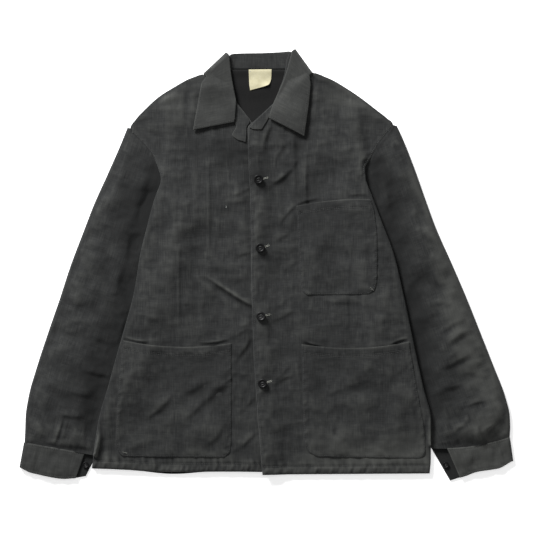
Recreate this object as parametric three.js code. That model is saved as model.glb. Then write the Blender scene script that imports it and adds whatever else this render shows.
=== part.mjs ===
// Padded work jacket with a turned-down collar, laid flat on its back.
// Millimetres. X runs across the jacket towards the wearer's left side, Y from the hem to the collar, and
// Z up from the surface that the jacket lies on. Right and left are the wearer's.

import * as THREE from "three";

// Cloth: each wall's thickness, and the clearance between pieces that touch or are sewn together
const seamGap = 0.3;
const sideGap = 0.6;
const backWall = 4;
const frontWall = 5;
const pressedEdge = 2.2;
const sleeveWall = 3.7;
const sleeveFlat = 8;
const sleeveCrown = 4.2;
const cuffWall = 3.4;
const cuffFoldRadius = 2.4;
const collarWall = 3;
const pocketWall = 1.8;
const facingWall = 2;
const labelWall = 1;

// How far the body rises where it lies over the sleeves, and the collar's fall lifts the back neck
const bodyLift = sleeveFlat + seamGap + 0.1;
const liftMargin = 12;
const liftFall = 38;
const neckLift = collarWall + seamGap + 0.1;

// Loft: how far the padded fronts stand off the back away from their edges
const frontLoft = 1.8;
const frontLoftReach = 60;
const widestGap = 3.2;

// Buttons
const buttonRadius = 8;
const buttonHeight = 3.4;
const cuffButtonRadius = 5.5;
const cuffButtonHeight = 2.6;
const buttonSides = 12;

// Mesh density: spacing of a panel's points across and along it, and the extra ones near a rounded edge
const acrossSpacing = 17;
const alongSpacing = 36;
const backSpacing = 36;
const edgeRadius = 5;
const edgeSteps = [0, 1.5, 4];
const panelWidth = 300;

// Finishes
const charcoalCloth = { color: 0x3a3b3b, roughness: 0.92, metalness: 0 };
const darkCloth = { color: 0x333434, roughness: 0.95, metalness: 0 };
const creamTape = { color: 0xe2dcc4, roughness: 0.85, metalness: 0 };
const blackButton = { color: 0x1b1b1c, roughness: 0.35, metalness: 0 };

// Body outline, a row for each height from the hem to the neck: the right side edge, the right front's
// centre edge, the left front's centre edge, and the left side edge. From the shoulder tips up, the side
// edges are the shoulder seams and the centre edges the neckline.
const bodyRows = [
  { rx: -304, ry: -353, cx: 19, cy: -361, dx: -7, dy: -365, lx: 284, ly: -363 },
  { rx: -301, ry: -325, cx: 17, cy: -333, dx: -9.5, dy: -337, lx: 287, ly: -336 },
  { rx: -292, ry: -269, cx: 11, cy: -272, dx: -15, dy: -272, lx: 287, ly: -274 },
  { rx: -276, ry: -213, cx: 8, cy: -216, dx: -19, dy: -211, lx: 273, ly: -213 },
  { rx: -259, ry: -151, cx: 4, cy: -153, dx: -22.5, dy: -153, lx: 259.5, ly: -152 },
  { rx: -246, ry: -106, cx: 3, cy: -106, dx: -24, dy: -106, lx: 250, ly: -106 },
  { rx: -230, ry: -45, cx: 1, cy: -45, dx: -26, dy: -45, lx: 237, ly: -45 },
  { rx: -220, ry: 17, cx: -1, cy: 17, dx: -27, dy: 17, lx: 222.5, ly: 16 },
  { rx: -206, ry: 74, cx: -1, cy: 74, dx: -27.5, dy: 74, lx: 201, ly: 74 },
  { rx: -196, ry: 111, cx: -2, cy: 113, dx: -28, dy: 112, lx: 187, ly: 111 },
  { rx: -184, ry: 148, cx: -4, cy: 155, dx: -30, dy: 150, lx: 173, ly: 150 },
  { rx: -188, ry: 166, cx: -5, cy: 179, dx: -31, dy: 172, lx: 172, ly: 167 },
  { rx: -196, ry: 185, cx: -6, cy: 200, dx: -32, dy: 194, lx: 182, ly: 185 },
  { rx: -212, ry: 206, cx: -7, cy: 220, dx: -32, dy: 213, lx: 196, ly: 209 },
  { rx: -238, ry: 237, cx: -24, cy: 246, dx: -33, dy: 237, lx: 221, ly: 244 },
  { rx: -228, ry: 254, cx: -35, cy: 261, dx: -21, dy: 251, lx: 210, ly: 256 },
  { rx: -210, ry: 273, cx: -46, cy: 275, dx: -9, dy: 262, lx: 192, ly: 270 },
  { rx: -189, ry: 292, cx: -56, cy: 290, dx: 5, dy: 275, lx: 170, ly: 287 },
  { rx: -164, ry: 308, cx: -67, cy: 304, dx: 23, dy: 292, lx: 144, ly: 305 },
  { rx: -136, ry: 322, cx: -82, cy: 318, dx: 41, dy: 312, lx: 112, ly: 322 },
  { rx: -107, ry: 325.5, cx: -93, cy: 325, dx: 61, dy: 326, lx: 76, ly: 327.5 },
];
const underarmRow = 10;
const shoulderTipRow = 14;

// The back goes on above the fronts' last row to the back neck seam
const backNeckRows = [
  { rx: -90, ry: 333.5, lx: 66, ly: 334 },
  { rx: -80, ry: 340, lx: 60, ly: 340 },
];
// The hems sag between the side seams: how far, where, and over what half width
const frontHemSag = { depth: 3, middleX: -170, halfWidth: 90 };
const backHemSag = { depth: 8, middleX: -165, halfWidth: 62 };
const hemSagReach = 70;

// Sleeves, a row from the armhole to the cuff: the outer edge, and the inner edge, which lies under the
// body as far down as the wrist
const sleeveRightRows = [
  { ox: -243, oy: 239, ix: -154, iy: 120 },
  { ox: -256, oy: 207, ix: -158, iy: 99 },
  { ox: -278, oy: 157, ix: -164, iy: 71 },
  { ox: -301, oy: 106, ix: -173, iy: 41 },
  { ox: -320, oy: 57, ix: -180, iy: 15 },
  { ox: -342, oy: -1, ix: -191, iy: -31 },
  { ox: -362, oy: -62, ix: -204, iy: -83 },
  { ox: -382, oy: -120, ix: -220, iy: -137 },
  { ox: -401, oy: -178, ix: -246, iy: -195 },
  { ox: -415, oy: -227, ix: -272, iy: -241 },
  { ox: -421, oy: -265, ix: -295.5, iy: -279 },
  { ox: -422, oy: -293, ix: -301, iy: -307 },
  { ox: -423, oy: -311.5, ix: -305, iy: -333 },
];
const sleeveLeftRows = [
  { ox: 228, oy: 242, ix: 140, iy: 120 },
  { ox: 241, oy: 213, ix: 144, iy: 99 },
  { ox: 260, oy: 164, ix: 151, iy: 71 },
  { ox: 278, oy: 113, ix: 161, iy: 41 },
  { ox: 296, oy: 64, ix: 172, iy: 15 },
  { ox: 324, oy: 1, ix: 186, iy: -31 },
  { ox: 351, oy: -62, ix: 200, iy: -83 },
  { ox: 374, oy: -120, ix: 215, iy: -137 },
  { ox: 397, oy: -178, ix: 240, iy: -192 },
  { ox: 416, oy: -227, ix: 264, iy: -237 },
  { ox: 425, oy: -263, ix: 288.5, iy: -268 },
  { ox: 426, oy: -284, ix: 292, iy: -298 },
  { ox: 425, oy: -302, ix: 291, iy: -321 },
];
const armholeReach = 3.5;

// Cuffs, a row along the lower edge from the outer fold (seam 0) to the under end (seam 1). The upper
// layer stops at topEnd, and the seam with the sleeve bows towards the hand by seamBow.
const cuffRight = {
  topEnd: 0.84,
  seamBow: 0,
  rows: [
    { seam: 0, x: -430.5, y: -352 },
    { seam: 0.15, x: -415, y: -360 },
    { seam: 0.38, x: -386, y: -367 },
    { seam: 0.6, x: -356, y: -372.5 },
    { seam: 0.8, x: -337, y: -371 },
    { seam: 1, x: -316, y: -369 },
  ],
};
const cuffLeft = {
  topEnd: 0.8,
  seamBow: 7,
  rows: [
    { seam: 0, x: 430.5, y: -340 },
    { seam: 0.2, x: 404, y: -354 },
    { seam: 0.45, x: 368, y: -359.5 },
    { seam: 0.65, x: 350, y: -366.5 },
    { seam: 0.8, x: 338, y: -370 },
    { seam: 1, x: 321, y: -375.5 },
  ],
};

// Collar fall: the roll edge (rx, ry) and the free edge (ex, ey) of each ruling, with the height of the
// middle of the cloth. The leaves lie on the fronts, and the strip between them under the back neck.
const leafRightRows = [
  { rx: -56, ry: 248, ex: -128, ey: 234, z: 11.5 },
  { rx: -54, ry: 266, ex: -125, ey: 252, z: 11.5 },
  { rx: -53, ry: 284, ex: -121, ey: 273, z: 11.5 },
  { rx: -57, ry: 306, ex: -117, ey: 296, z: 12 },
  { rx: -61, ry: 330, ex: -113, ey: 315, z: 13.5 },
];
const fallBackRows = [
  { rx: -58, ry: 366, ex: -86, ey: 320, z: 1.6 },
  { rx: -36, ry: 366.5, ex: -46, ey: 318, z: 1.6 },
  { rx: -10, ry: 367, ex: -10, ey: 317, z: 1.6 },
  { rx: 18, ry: 368.5, ex: 26, ey: 318, z: 1.6 },
  { rx: 38, ry: 370.5, ex: 60, ey: 322, z: 1.6 },
];
const leafLeftRows = [
  { rx: 36, ry: 340, ex: 77, ey: 313, z: 13.5 },
  { rx: 28, ry: 318, ex: 75, ey: 291, z: 12 },
  { rx: 18.5, ry: 296, ex: 72, ey: 266, z: 11.5 },
  { rx: 10, ry: 276, ex: 69, ey: 245, z: 11.5 },
  { rx: 4, ry: 255, ex: 66, ey: 223, z: 11.5 },
];
// Outer lines round which the collar turns from its leaves to the strip under the neck
const turnRight = { rx: -70, ry: 368, ex: -110, ey: 331 };
const turnLeft = { rx: 50, ry: 374, ex: 79, ey: 333 };
const turnRadius = 6.6;
const turnMiddle = 8.2;
const turnAngles = [5, 45, 90, 135, 175];

// Collar stand: the neck seam (nx, ny), the roll edge (rx, ry) and the height of the middle of the cloth,
// from the right front to the left. Its sides lie on the back, and its middle is level with the back.
const standRows = [
  { nx: -60, ny: 298, rx: -55.5, ry: 301, z: 5.9 },
  { nx: -65, ny: 305.5, rx: -57.5, ry: 310, z: 8 },
  { nx: -77.5, ny: 318, rx: -61, ry: 326, z: 9.3 },
  { nx: -86, ny: 327, rx: -63.5, ry: 340, z: 9.3 },
  { nx: -82, ny: 336, rx: -62, ry: 352, z: 9.3 },
  { nx: -73, ny: 341.2, rx: -56, ry: 360, z: 8.6 },
  { nx: -46, ny: 341.2, rx: -44, ry: 366, z: 5 },
  { nx: -10, ny: 341.2, rx: -10, ry: 366.5, z: 5 },
  { nx: 28, ny: 341.2, rx: 25, ry: 368, z: 5 },
  { nx: 51, ny: 341.2, rx: 35, ry: 364, z: 8.6 },
  { nx: 59, ny: 336, rx: 35, ry: 353, z: 9.3 },
  { nx: 56, ny: 328, rx: 33, ry: 341, z: 9.3 },
  { nx: 38, ny: 313.5, rx: 29, ry: 324, z: 9.3 },
  { nx: 26, ny: 300.5, rx: 21.5, ry: 305, z: 7 },
];

// Patch pockets, a row from the lower edge to the mouth: the edge at smaller X, then at larger X
const chestPocketRows = [
  { ax: 72, ay: -54, bx: 176, by: -52.5 },
  { ax: 63, ay: -47, bx: 186, by: -47 },
  { ax: 60, ay: -36, bx: 192, by: -28 },
  { ax: 56, ay: 30, bx: 193, by: 35 },
  { ax: 53, ay: 85, bx: 187, by: 95 },
  { ax: 52, ay: 102, bx: 180, by: 113.5 },
];
const hipPocketRightRows = [
  { ax: -249, ay: -336, bx: -74, by: -337 },
  { ax: -259, ay: -326, bx: -64, by: -328 },
  { ax: -263, ay: -306, bx: -61, by: -307 },
  { ax: -258, ay: -220, bx: -61, by: -222 },
  { ax: -252, ay: -157, bx: -61, by: -160 },
  { ax: -249, ay: -132, bx: -61, by: -137 },
];
const hipPocketLeftRows = [
  { ax: 92, ay: -336, bx: 266, by: -339 },
  { ax: 75, ay: -328, bx: 276, by: -332 },
  { ax: 65, ay: -306, bx: 277, by: -304 },
  { ax: 63, ay: -220, bx: 262, by: -215 },
  { ax: 61.5, ay: -160, bx: 252, by: -157 },
  { ax: 61, ay: -139, bx: 248, by: -134 },
];
const chestMouth = { sag: -4, gape: 1.2 };
const hipMouth = { sag: 9, gape: 2.6 };
const sewnDown = { sag: 0, gape: 0 };
const mouthReach = 45;
const chestMesh = { across: 9, spacing: 20 };
const hipMesh = { across: 13, spacing: 24 };
const facingMesh = { across: 3, spacing: 36 };
const labelMesh = { across: 5, spacing: 17 };

// Facing corners turned back at the neck, a row along each: inner edge, then outer edge
const facingRightRows = [
  { ax: -50, ay: 217, bx: -36, by: 213 },
  { ax: -60, ay: 226, bx: -35, by: 226 },
  { ax: -53, ay: 241, bx: -34.5, by: 239 },
  { ax: -56, ay: 250, bx: -29.5, by: 248.5 },
  { ax: -56, ay: 264, bx: -40, by: 265 },
  { ax: -58, ay: 281, bx: -52, by: 281 },
];
const facingLeftRows = [
  { ax: -30, ay: 238.5, bx: -24, by: 235.5 },
  { ax: -22, ay: 248, bx: -10, by: 235 },
  { ax: -11, ay: 258, bx: -3, by: 244 },
  { ax: 0, ay: 269, bx: 4, by: 256 },
  { ax: 8, ay: 276, bx: 10, by: 270 },
];

const labelRows = [
  { ax: -29.5, ay: 301, bx: -14, by: 305 },
  { ax: -31, ay: 312, bx: 5, by: 312 },
  { ax: -31.5, ay: 325, bx: 10, by: 325 },
  { ax: -32, ay: 338.5, bx: 10, by: 338.5 },
];

const buttonPlaces = [
  { x: -14, y: 148 },
  { x: -11, y: 29 },
  { x: -10, y: -90 },
  { x: -7, y: -207 },
];
const cuffButtonRight = { x: -316, y: -350 };
const cuffButtonLeft = { x: 313, y: -350 };

// Folds and troughs: a straight line each, the half width of the ridge and its height, below zero for a
// trough
const rightFrontFolds = [
  { x0: -159, y0: 285, x1: -184, y1: 165, half: 17, height: 2.2 },
  { x0: -205, y0: 235, x1: -200, y1: 195, half: 14, height: -1 },
  { x0: -98, y0: 230, x1: -98, y1: 0, half: 13, height: 0.9 },
  { x0: -147, y0: 87, x1: -147, y1: -125, half: 13, height: 0.8 },
  { x0: -122, y0: 222, x1: -116, y1: 100, half: 14, height: -1 },
  { x0: -120, y0: -4, x1: -50, y1: -66, half: 14, height: -1.4 },
  { x0: -150, y0: 20, x1: -82, y1: -52, half: 16, height: 1.2 },
  { x0: -60, y0: 150, x1: -34, y1: 40, half: 18, height: 1 },
];
const leftFrontFolds = [
  { x0: 143, y0: 262, x1: 170, y1: 165, half: 17, height: 2.2 },
  { x0: 190, y0: 240, x1: 186, y1: 205, half: 14, height: -1 },
  { x0: 2, y0: 190, x1: 14, y1: 240, half: 12, height: -1.2 },
  { x0: 24, y0: 160, x1: 40, y1: 215, half: 15, height: 1.3 },
  { x0: 80, y0: 225, x1: 78, y1: 120, half: 13, height: -0.8 },
  { x0: 20, y0: 150, x1: 60, y1: 190, half: 14, height: 1 },
  { x0: 22, y0: 30, x1: 46, y1: 66, half: 13, height: 0.9 },
  { x0: 22, y0: -88, x1: 60, y1: -60, half: 13, height: 0.9 },
  { x0: 24, y0: -205, x1: 56, y1: -176, half: 13, height: 0.9 },
];
const rightSleeveFolds = [
  { x0: -249, y0: 60, x1: -256, y1: -5, half: 15, height: 1.6 },
  { x0: -258, y0: -12, x1: -266, y1: -62, half: 14, height: 1.4 },
  { x0: -240, y0: 150, x1: -262, y1: 90, half: 17, height: -1.4 },
  { x0: -323, y0: -176, x1: -272, y1: -192, half: 13, height: 1.4 },
  { x0: -366, y0: -252, x1: -314, y1: -262, half: 12, height: 1.3 },
  { x0: -352, y0: -262, x1: -371, y1: -312, half: 10, height: 1.5 },
  { x0: -385, y0: -120, x1: -300, y1: -90, half: 20, height: -1 },
];
const leftSleeveFolds = [
  { x0: 299, y0: -150, x1: 364, y1: -106, half: 14, height: 1.6 },
  { x0: 300, y0: -178, x1: 362, y1: -146, half: 13, height: 1.4 },
  { x0: 240, y0: 120, x1: 268, y1: 60, half: 18, height: -1.3 },
  { x0: 344, y0: -246, x1: 390, y1: -234, half: 12, height: 1.3 },
  { x0: 327, y0: -286, x1: 347, y1: -279, half: 10, height: 1.1 },
  { x0: 366, y0: -281, x1: 376, y1: -306, half: 9, height: 1.4 },
  { x0: 378, y0: -300, x1: 410, y1: -274, half: 12, height: 1.4 },
];
const hipRightFolds = [
  { x0: -215, y0: -262, x1: -70, y1: -182, half: 16, height: 1.5 },
  { x0: -150, y0: -272, x1: -64, y1: -200, half: 13, height: -0.8 },
];
const hipLeftFolds = [
  { x0: 90, y0: -225, x1: 200, y1: -205, half: 20, height: 1.2 },
  { x0: 120, y0: -290, x1: 235, y1: -262, half: 16, height: 0.9 },
];

// A ramp from 0 at `from` to 1 at `to`, level at both ends
function ramp(value, from, to) {
  const part = Math.min(Math.max((value - from) / (to - from), 0), 1);
  return part * part * (3 - 2 * part);
}

// The round profile of a wall's edge: 0 at the edge, 1 from one radius in
function roundEdge(distance, radius) {
  const left = 1 - Math.min(Math.max(distance / radius, 0), 1);
  return Math.sqrt(1 - left * left);
}

// A named column of a table at row number t, by a curve that never overshoots a row
function columnAt(rows, name, t) {
  const last = rows.length - 1;
  const i = Math.min(Math.floor(t), last - 1);
  const part = t - i;
  const steps = [i - 1, i, i + 1].map((k) => {
    const low = Math.min(Math.max(k, 0), last - 1);
    return rows[low + 1][name] - rows[low][name];
  });
  const slope = (before, after) => (before * after > 0 ? (2 * before * after) / (before + after) : 0);
  const start = slope(steps[0], steps[1]);
  const end = slope(steps[1], steps[2]);
  const rise = steps[1];
  const cubic = start + end - 2 * rise;
  const square = 3 * rise - 2 * start - end;
  return rows[i][name] + part * (start + part * (square + part * cubic));
}

function pointAt(rows, xName, yName, t) {
  return new THREE.Vector3(columnAt(rows, xName, t), columnAt(rows, yName, t), 0);
}

// Row numbers from the first row to the last, closer together where the table's edges run far
function stationsAlong(rows, edges, spacing) {
  const stations = [0];
  for (let i = 0; i + 1 < rows.length; i++) {
    const lengths = edges.map(([x, y]) => {
      return Math.hypot(rows[i + 1][x] - rows[i][x], rows[i + 1][y] - rows[i][y]);
    });
    const steps = Math.max(1, Math.round(Math.max(...lengths) / spacing));
    for (let k = 1; k <= steps; k++) stations.push(i + k / steps);
  }
  return stations;
}

// Parts from 0 to 1 across a strip of the given width, with extra ones near both edges
function partsAcross(width, spacing) {
  const inset = edgeSteps[edgeSteps.length - 1];
  const steps = Math.max(2, Math.round((width - 2 * inset) / spacing));
  const even = [];
  for (let k = 1; k < steps; k++) even.push(inset + ((width - 2 * inset) * k) / steps);
  const far = edgeSteps.map((d) => width - d).reverse();
  return [...edgeSteps, ...even, ...far].map((d) => d / width);
}

// Distance in plan from a point to a line of points
function distanceTo(line, x, y) {
  let nearest = Infinity;
  for (let i = 0; i + 1 < line.length; i++) {
    const a = line[i];
    const b = line[i + 1];
    const along = ((x - a.x) * (b.x - a.x) + (y - a.y) * (b.y - a.y)) / ((b.x - a.x) ** 2 + (b.y - a.y) ** 2);
    const part = Math.min(Math.max(along, 0), 1);
    const dx = a.x + part * (b.x - a.x) - x;
    const dy = a.y + part * (b.y - a.y) - y;
    nearest = Math.min(nearest, Math.hypot(dx, dy));
  }
  return nearest;
}

// The same, above zero beyond the line on the side of larger X times `outward`. The line climbs in Y.
function distanceBeyond(line, x, y, outward) {
  const distance = distanceTo(line, x, y);
  const i = line.findIndex((p) => p.y > y);
  if (i < 1) return -distance;
  const part = (y - line[i - 1].y) / (line[i].y - line[i - 1].y);
  const lineX = line[i - 1].x + part * (line[i].x - line[i - 1].x);
  return (x - lineX) * outward > 0 ? distance : -distance;
}

// The height of a set of folds at a point: each fades out across its width and past its ends
function foldHeight(folds, x, y) {
  let height = 0;
  for (const fold of folds) {
    const line = [
      { x: fold.x0, y: fold.y0 },
      { x: fold.x1, y: fold.y1 },
    ];
    height += fold.height * Math.exp(-((distanceTo(line, x, y) / fold.half) ** 2));
  }
  return height;
}

// Layers already laid, kept as triangles in square bins, so that the next one can be laid on them
const binSize = 25;
const layers = new Map();

function binsOver(low, high) {
  const names = [];
  for (let i = Math.floor(low.x / binSize); i <= Math.floor(high.x / binSize); i++) {
    for (let j = Math.floor(low.y / binSize); j <= Math.floor(high.y / binSize); j++) names.push(i + "," + j);
  }
  return names;
}

function planArea(a, b, c) {
  return (b.x - a.x) * (c.y - a.y) - (c.x - a.x) * (b.y - a.y);
}

function layDown(geometry) {
  const position = geometry.getAttribute("position");
  for (let k = 0; k < geometry.index.count; k += 3) {
    const corners = [0, 1, 2].map((n) => {
      return new THREE.Vector3().fromBufferAttribute(position, geometry.index.getX(k + n));
    });
    if (planArea(...corners) < 1e-3) continue;
    const box = new THREE.Box3().setFromPoints(corners);
    for (const name of binsOver(box.min, box.max)) {
      if (!layers.has(name)) layers.set(name, []);
      layers.get(name).push(corners);
    }
  }
}

function heightOfLayers(x, y) {
  const here = { x, y };
  let height = -Infinity;
  for (const [a, b, c] of layers.get(binsOver(here, here)[0]) ?? []) {
    const whole = planArea(a, b, c);
    const parts = [planArea(b, c, here), planArea(c, a, here), planArea(a, b, here)].map((s) => s / whole);
    if (Math.min(...parts) < -1e-6) continue;
    height = Math.max(height, parts[0] * a.z + parts[1] * b.z + parts[2] * c.z);
  }
  return height;
}

// Raises a grid of points on to the layers below, then lifts each facet that still dips into them, at points
// tested inside it, by the least change to its corners
const raisePasses = 8;
const facetTests = 8;

function raiseClear(grid, gap) {
  for (const point of grid.flat()) point.z = Math.max(point.z, heightOfLayers(point.x, point.y) + gap);
  const testAt = (corners, parts) => {
    const at = new THREE.Vector3();
    corners.forEach((corner, k) => at.addScaledVector(corner, parts[k]));
    const short = heightOfLayers(at.x, at.y) + gap - at.z;
    if (short <= 0) return;
    const weight = parts.reduce((sum, part) => sum + part * part, 0);
    corners.forEach((corner, k) => (corner.z += (short * parts[k]) / weight));
  };
  const raiseFacet = (corners) => {
    for (let m = 0; m <= facetTests; m++) {
      for (let n = 0; m + n <= facetTests; n++) {
        testAt(corners, [m, n, facetTests - m - n].map((s) => s / facetTests));
      }
    }
  };
  for (let pass = 0; pass < raisePasses; pass++) {
    for (let i = 0; i + 1 < grid.length; i++) {
      for (let j = 0; j + 1 < grid[i].length; j++) {
        raiseFacet([grid[i][j], grid[i][j + 1], grid[i + 1][j + 1]]);
        raiseFacet([grid[i][j], grid[i + 1][j + 1], grid[i + 1][j]]);
      }
    }
  }
}

// A closed body with all its faces outwards, from shared points and the triangles between them
function closedBody(points, faces) {
  let volume = 0;
  for (let k = 0; k < faces.length; k += 3) {
    const [a, b, c] = [points[faces[k]], points[faces[k + 1]], points[faces[k + 2]]];
    volume += a.dot(new THREE.Vector3().crossVectors(b, c));
  }
  if (volume < 0) faces.reverse();
  const geometry = new THREE.BufferGeometry().setFromPoints(points);
  geometry.setIndex(faces);
  geometry.computeVertexNormals();
  return geometry;
}

// A wall between a lower and an upper grid of points
function sheetBody(lower, upper) {
  const rows = lower.length;
  const columns = lower[0].length;
  const low = (i, j) => i * columns + j;
  const high = (i, j) => rows * columns + low(i, j);
  const faces = [];
  const quad = (a, b, c, d) => faces.push(a, b, c, a, c, d);
  for (let i = 0; i + 1 < rows; i++) {
    for (let j = 0; j + 1 < columns; j++) {
      quad(high(i, j), high(i, j + 1), high(i + 1, j + 1), high(i + 1, j));
      quad(low(i, j), low(i + 1, j), low(i + 1, j + 1), low(i, j + 1));
    }
    quad(low(i, 0), high(i, 0), high(i + 1, 0), low(i + 1, 0));
    quad(low(i + 1, columns - 1), high(i + 1, columns - 1), high(i, columns - 1), low(i, columns - 1));
  }
  for (let j = 0; j + 1 < columns; j++) {
    quad(low(0, j), low(0, j + 1), high(0, j + 1), high(0, j));
    quad(high(rows - 1, j), high(rows - 1, j + 1), low(rows - 1, j + 1), low(rows - 1, j));
  }
  return closedBody([...lower.flat(), ...upper.flat()], faces);
}

// A tube open at both ends, from matching rings on its outside and its inside
function tubeBody(outer, inner) {
  const around = outer[0].length;
  const last = outer.length - 1;
  const out = (i, k) => i * around + (k % around);
  const inn = (i, k) => outer.length * around + out(i, k);
  const faces = [];
  const quad = (a, b, c, d) => faces.push(a, b, c, a, c, d);
  for (let k = 0; k < around; k++) {
    for (let i = 0; i < last; i++) {
      quad(out(i, k), out(i, k + 1), out(i + 1, k + 1), out(i + 1, k));
      quad(inn(i, k), inn(i + 1, k), inn(i + 1, k + 1), inn(i, k + 1));
    }
    quad(out(0, k), inn(0, k), inn(0, k + 1), out(0, k + 1));
    quad(out(last, k), out(last, k + 1), inn(last, k + 1), inn(last, k));
  }
  return closedBody([...outer.flat(), ...inner.flat()], faces);
}

// A wall about a middle surface, thinner at its rims
const rimShare = 0.7;

function wallAbout(middle, wall) {
  const rows = middle.length - 1;
  const columns = middle[0].length - 1;
  const lower = [];
  const upper = [];
  for (let i = 0; i <= rows; i++) {
    lower.push([]);
    upper.push([]);
    for (let j = 0; j <= columns; j++) {
      const along = new THREE.Vector3().subVectors(
        middle[Math.min(i + 1, rows)][j],
        middle[Math.max(i - 1, 0)][j],
      );
      const across = new THREE.Vector3().subVectors(
        middle[i][Math.min(j + 1, columns)],
        middle[i][Math.max(j - 1, 0)],
      );
      const normal = new THREE.Vector3().crossVectors(across, along).normalize();
      const atRim = i === 0 || i === rows || j === 0 || j === columns;
      const half = (wall / 2) * (atRim ? rimShare : 1);
      upper[i].push(middle[i][j].clone().addScaledVector(normal, half));
      lower[i].push(middle[i][j].clone().addScaledVector(normal, -half));
    }
  }
  return sheetBody(lower, upper);
}

function piece(name, geometry, finish) {
  const mesh = new THREE.Mesh(geometry, new THREE.MeshStandardMaterial(finish));
  mesh.name = name;
  return mesh;
}

// Where the body lies over a sleeve: lines climbing along each sleeve's hidden inner edge
function innerEdge(rows, underarmX, underarmY) {
  const line = rows.map((row) => ({ x: row.ix, y: row.iy })).reverse();
  line.push({ x: underarmX, y: underarmY });
  return line;
}

const innerRight = innerEdge(sleeveRightRows, bodyRows[underarmRow].rx, bodyRows[underarmRow].ry);
const innerLeft = innerEdge(sleeveLeftRows, bodyRows[underarmRow].lx, bodyRows[underarmRow].ly);
const sideRight = bodyRows.slice(0, shoulderTipRow + 1).map((row) => ({ x: row.rx, y: row.ry }));
const sideLeft = bodyRows.slice(0, shoulderTipRow + 1).map((row) => ({ x: row.lx, y: row.ly }));

// The height of the back's underside: on the surface, over the sleeves, and over the collar's strip
const liftEndY = -330;
const liftFullY = -235;
const neckMiddleX = -14;
const neckHalfWidth = 112;
const neckStartY = 288;
const neckFullY = 314;
const neckFade = 24;

function liftAt(x, y) {
  const far = Math.min(-distanceBeyond(innerRight, x, y, -1), -distanceBeyond(innerLeft, x, y, 1));
  const beside = 1 - ramp(far, liftMargin, liftMargin + liftFall);
  const overSleeve = bodyLift * beside * ramp(y, liftEndY, liftFullY);
  const within = 1 - ramp(Math.abs(x - neckMiddleX), neckHalfWidth, neckHalfWidth + neckFade);
  const overCollar = neckLift * within * ramp(y, neckStartY, neckFullY);
  return Math.max(overSleeve, overCollar);
}

// A panel's points in plan between two edges of the body table, with a sagging hem. Each point keeps its
// distances to the edges on its two sides and to the hem.
function panelPlan(rows, edgeA, edgeB, stations, parts, sag) {
  const plan = [];
  for (const t of stations) {
    const a = pointAt(rows, ...edgeA, t);
    const b = pointAt(rows, ...edgeB, t);
    const points = parts.map((part) => {
      const point = new THREE.Vector3().lerpVectors(a, b, part);
      const reach = 1 - ramp(point.y - rows[0].ry, 0, hemSagReach);
      point.y -= sag.depth * reach * Math.exp(-(((point.x - sag.middleX) / sag.halfWidth) ** 2));
      return point;
    });
    plan.push(points);
  }
  return plan.map((points, i) =>
    points.map((point, j) => ({
      point,
      fromA: point.distanceTo(points[0]),
      fromB: point.distanceTo(points[points.length - 1]),
      fromHem: point.distanceTo(plan[0][j]),
      fromTop: point.distanceTo(plan[plan.length - 1][j]),
    })),
  );
}

const hemStations = [0, 0.05, 0.14];

function withHemStations(stations) {
  return [...hemStations, ...stations.filter((t) => t > hemStations[hemStations.length - 1] * 2)];
}

// The padded back: flat where it rests, raised over the sleeves, its edges rounded up to the seams
function makeBack() {
  const rows = [...bodyRows, ...backNeckRows];
  const stations = withHemStations(
    stationsAlong(rows, [["rx", "ry"], ["lx", "ly"]], alongSpacing),
  );
  const parts = partsAcross(2 * panelWidth, backSpacing);
  const plan = panelPlan(rows, ["rx", "ry"], ["lx", "ly"], stations, parts, backHemSag);
  const lower = plan.map((line) => line.map(({ point }) => point.clone().setZ(liftAt(point.x, point.y))));
  raiseClear(lower, seamGap);
  const upper = lower.map((line) => line.map((point) => point.clone().setZ(point.z + backWall)));
  plan.forEach((line, i) =>
    line.forEach(({ fromA, fromB, fromHem, fromTop }, j) => {
      const inside = Math.min(fromA, fromB, fromHem, fromTop);
      const wall = pressedEdge + (backWall - pressedEdge) * roundEdge(inside, edgeRadius);
      lower[i][j].z = upper[i][j].z - wall;
    }),
  );
  return sheetBody(lower, upper);
}

// A padded front laid on what is below it. `parts` runs from smaller to larger X.
function makeFront(edgeA, edgeB, folds) {
  const stations = withHemStations(stationsAlong(bodyRows, [edgeA, edgeB], alongSpacing));
  const parts = partsAcross(panelWidth, acrossSpacing);
  const plan = panelPlan(bodyRows, edgeA, edgeB, stations, parts, frontHemSag);
  const lower = plan.map((line) =>
    line.map(({ point }) => point.clone().setZ(liftAt(point.x, point.y) + backWall + seamGap)),
  );
  raiseClear(lower, seamGap);
  const upper = plan.map((line, i) =>
    line.map(({ point, fromA, fromB, fromHem }, j) => {
      const inside = Math.min(fromA, fromB, fromHem);
      const loft = ramp(inside, edgeRadius, frontLoftReach);
      const fold = foldHeight(folds, point.x, point.y) * ramp(inside, 0, 3 * edgeRadius);
      lower[i][j].z += Math.min(frontLoft * loft + Math.max(fold, 0) / 2, widestGap - seamGap);
      const wall = pressedEdge + (frontWall - pressedEdge) * roundEdge(inside, edgeRadius);
      return lower[i][j].clone().setZ(lower[i][j].z + wall + fold - Math.max(fold, 0) / 2);
    }),
  );
  return sheetBody(lower, upper);
}

// A sleeve: a flattened tube that lies flat, thinner where the body covers it. Its first ring follows the
// armhole just outside the body's edge, and goes on under the body.
const ringParts = [0.012, 0.045, 0.15, 0.3, 0.46, 0.62, 0.78, 0.92, 0.982];
const wideRing = 150;
const crownReach = 42;
const crownStart = [-0.6, 1];
const crownEnd = [-0.8, 2];
const reliefBeside = [0, 12];
const reliefInside = [2, 14];
const ringRim = 0.5;

function armholeLine(x, y, outward) {
  const line = [];
  for (let t = shoulderTipRow; t >= underarmRow; t -= 0.5) {
    line.push(pointAt(bodyRows, x, y, t).add(new THREE.Vector3(sideGap * outward, 0, 0)));
  }
  return line;
}

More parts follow.
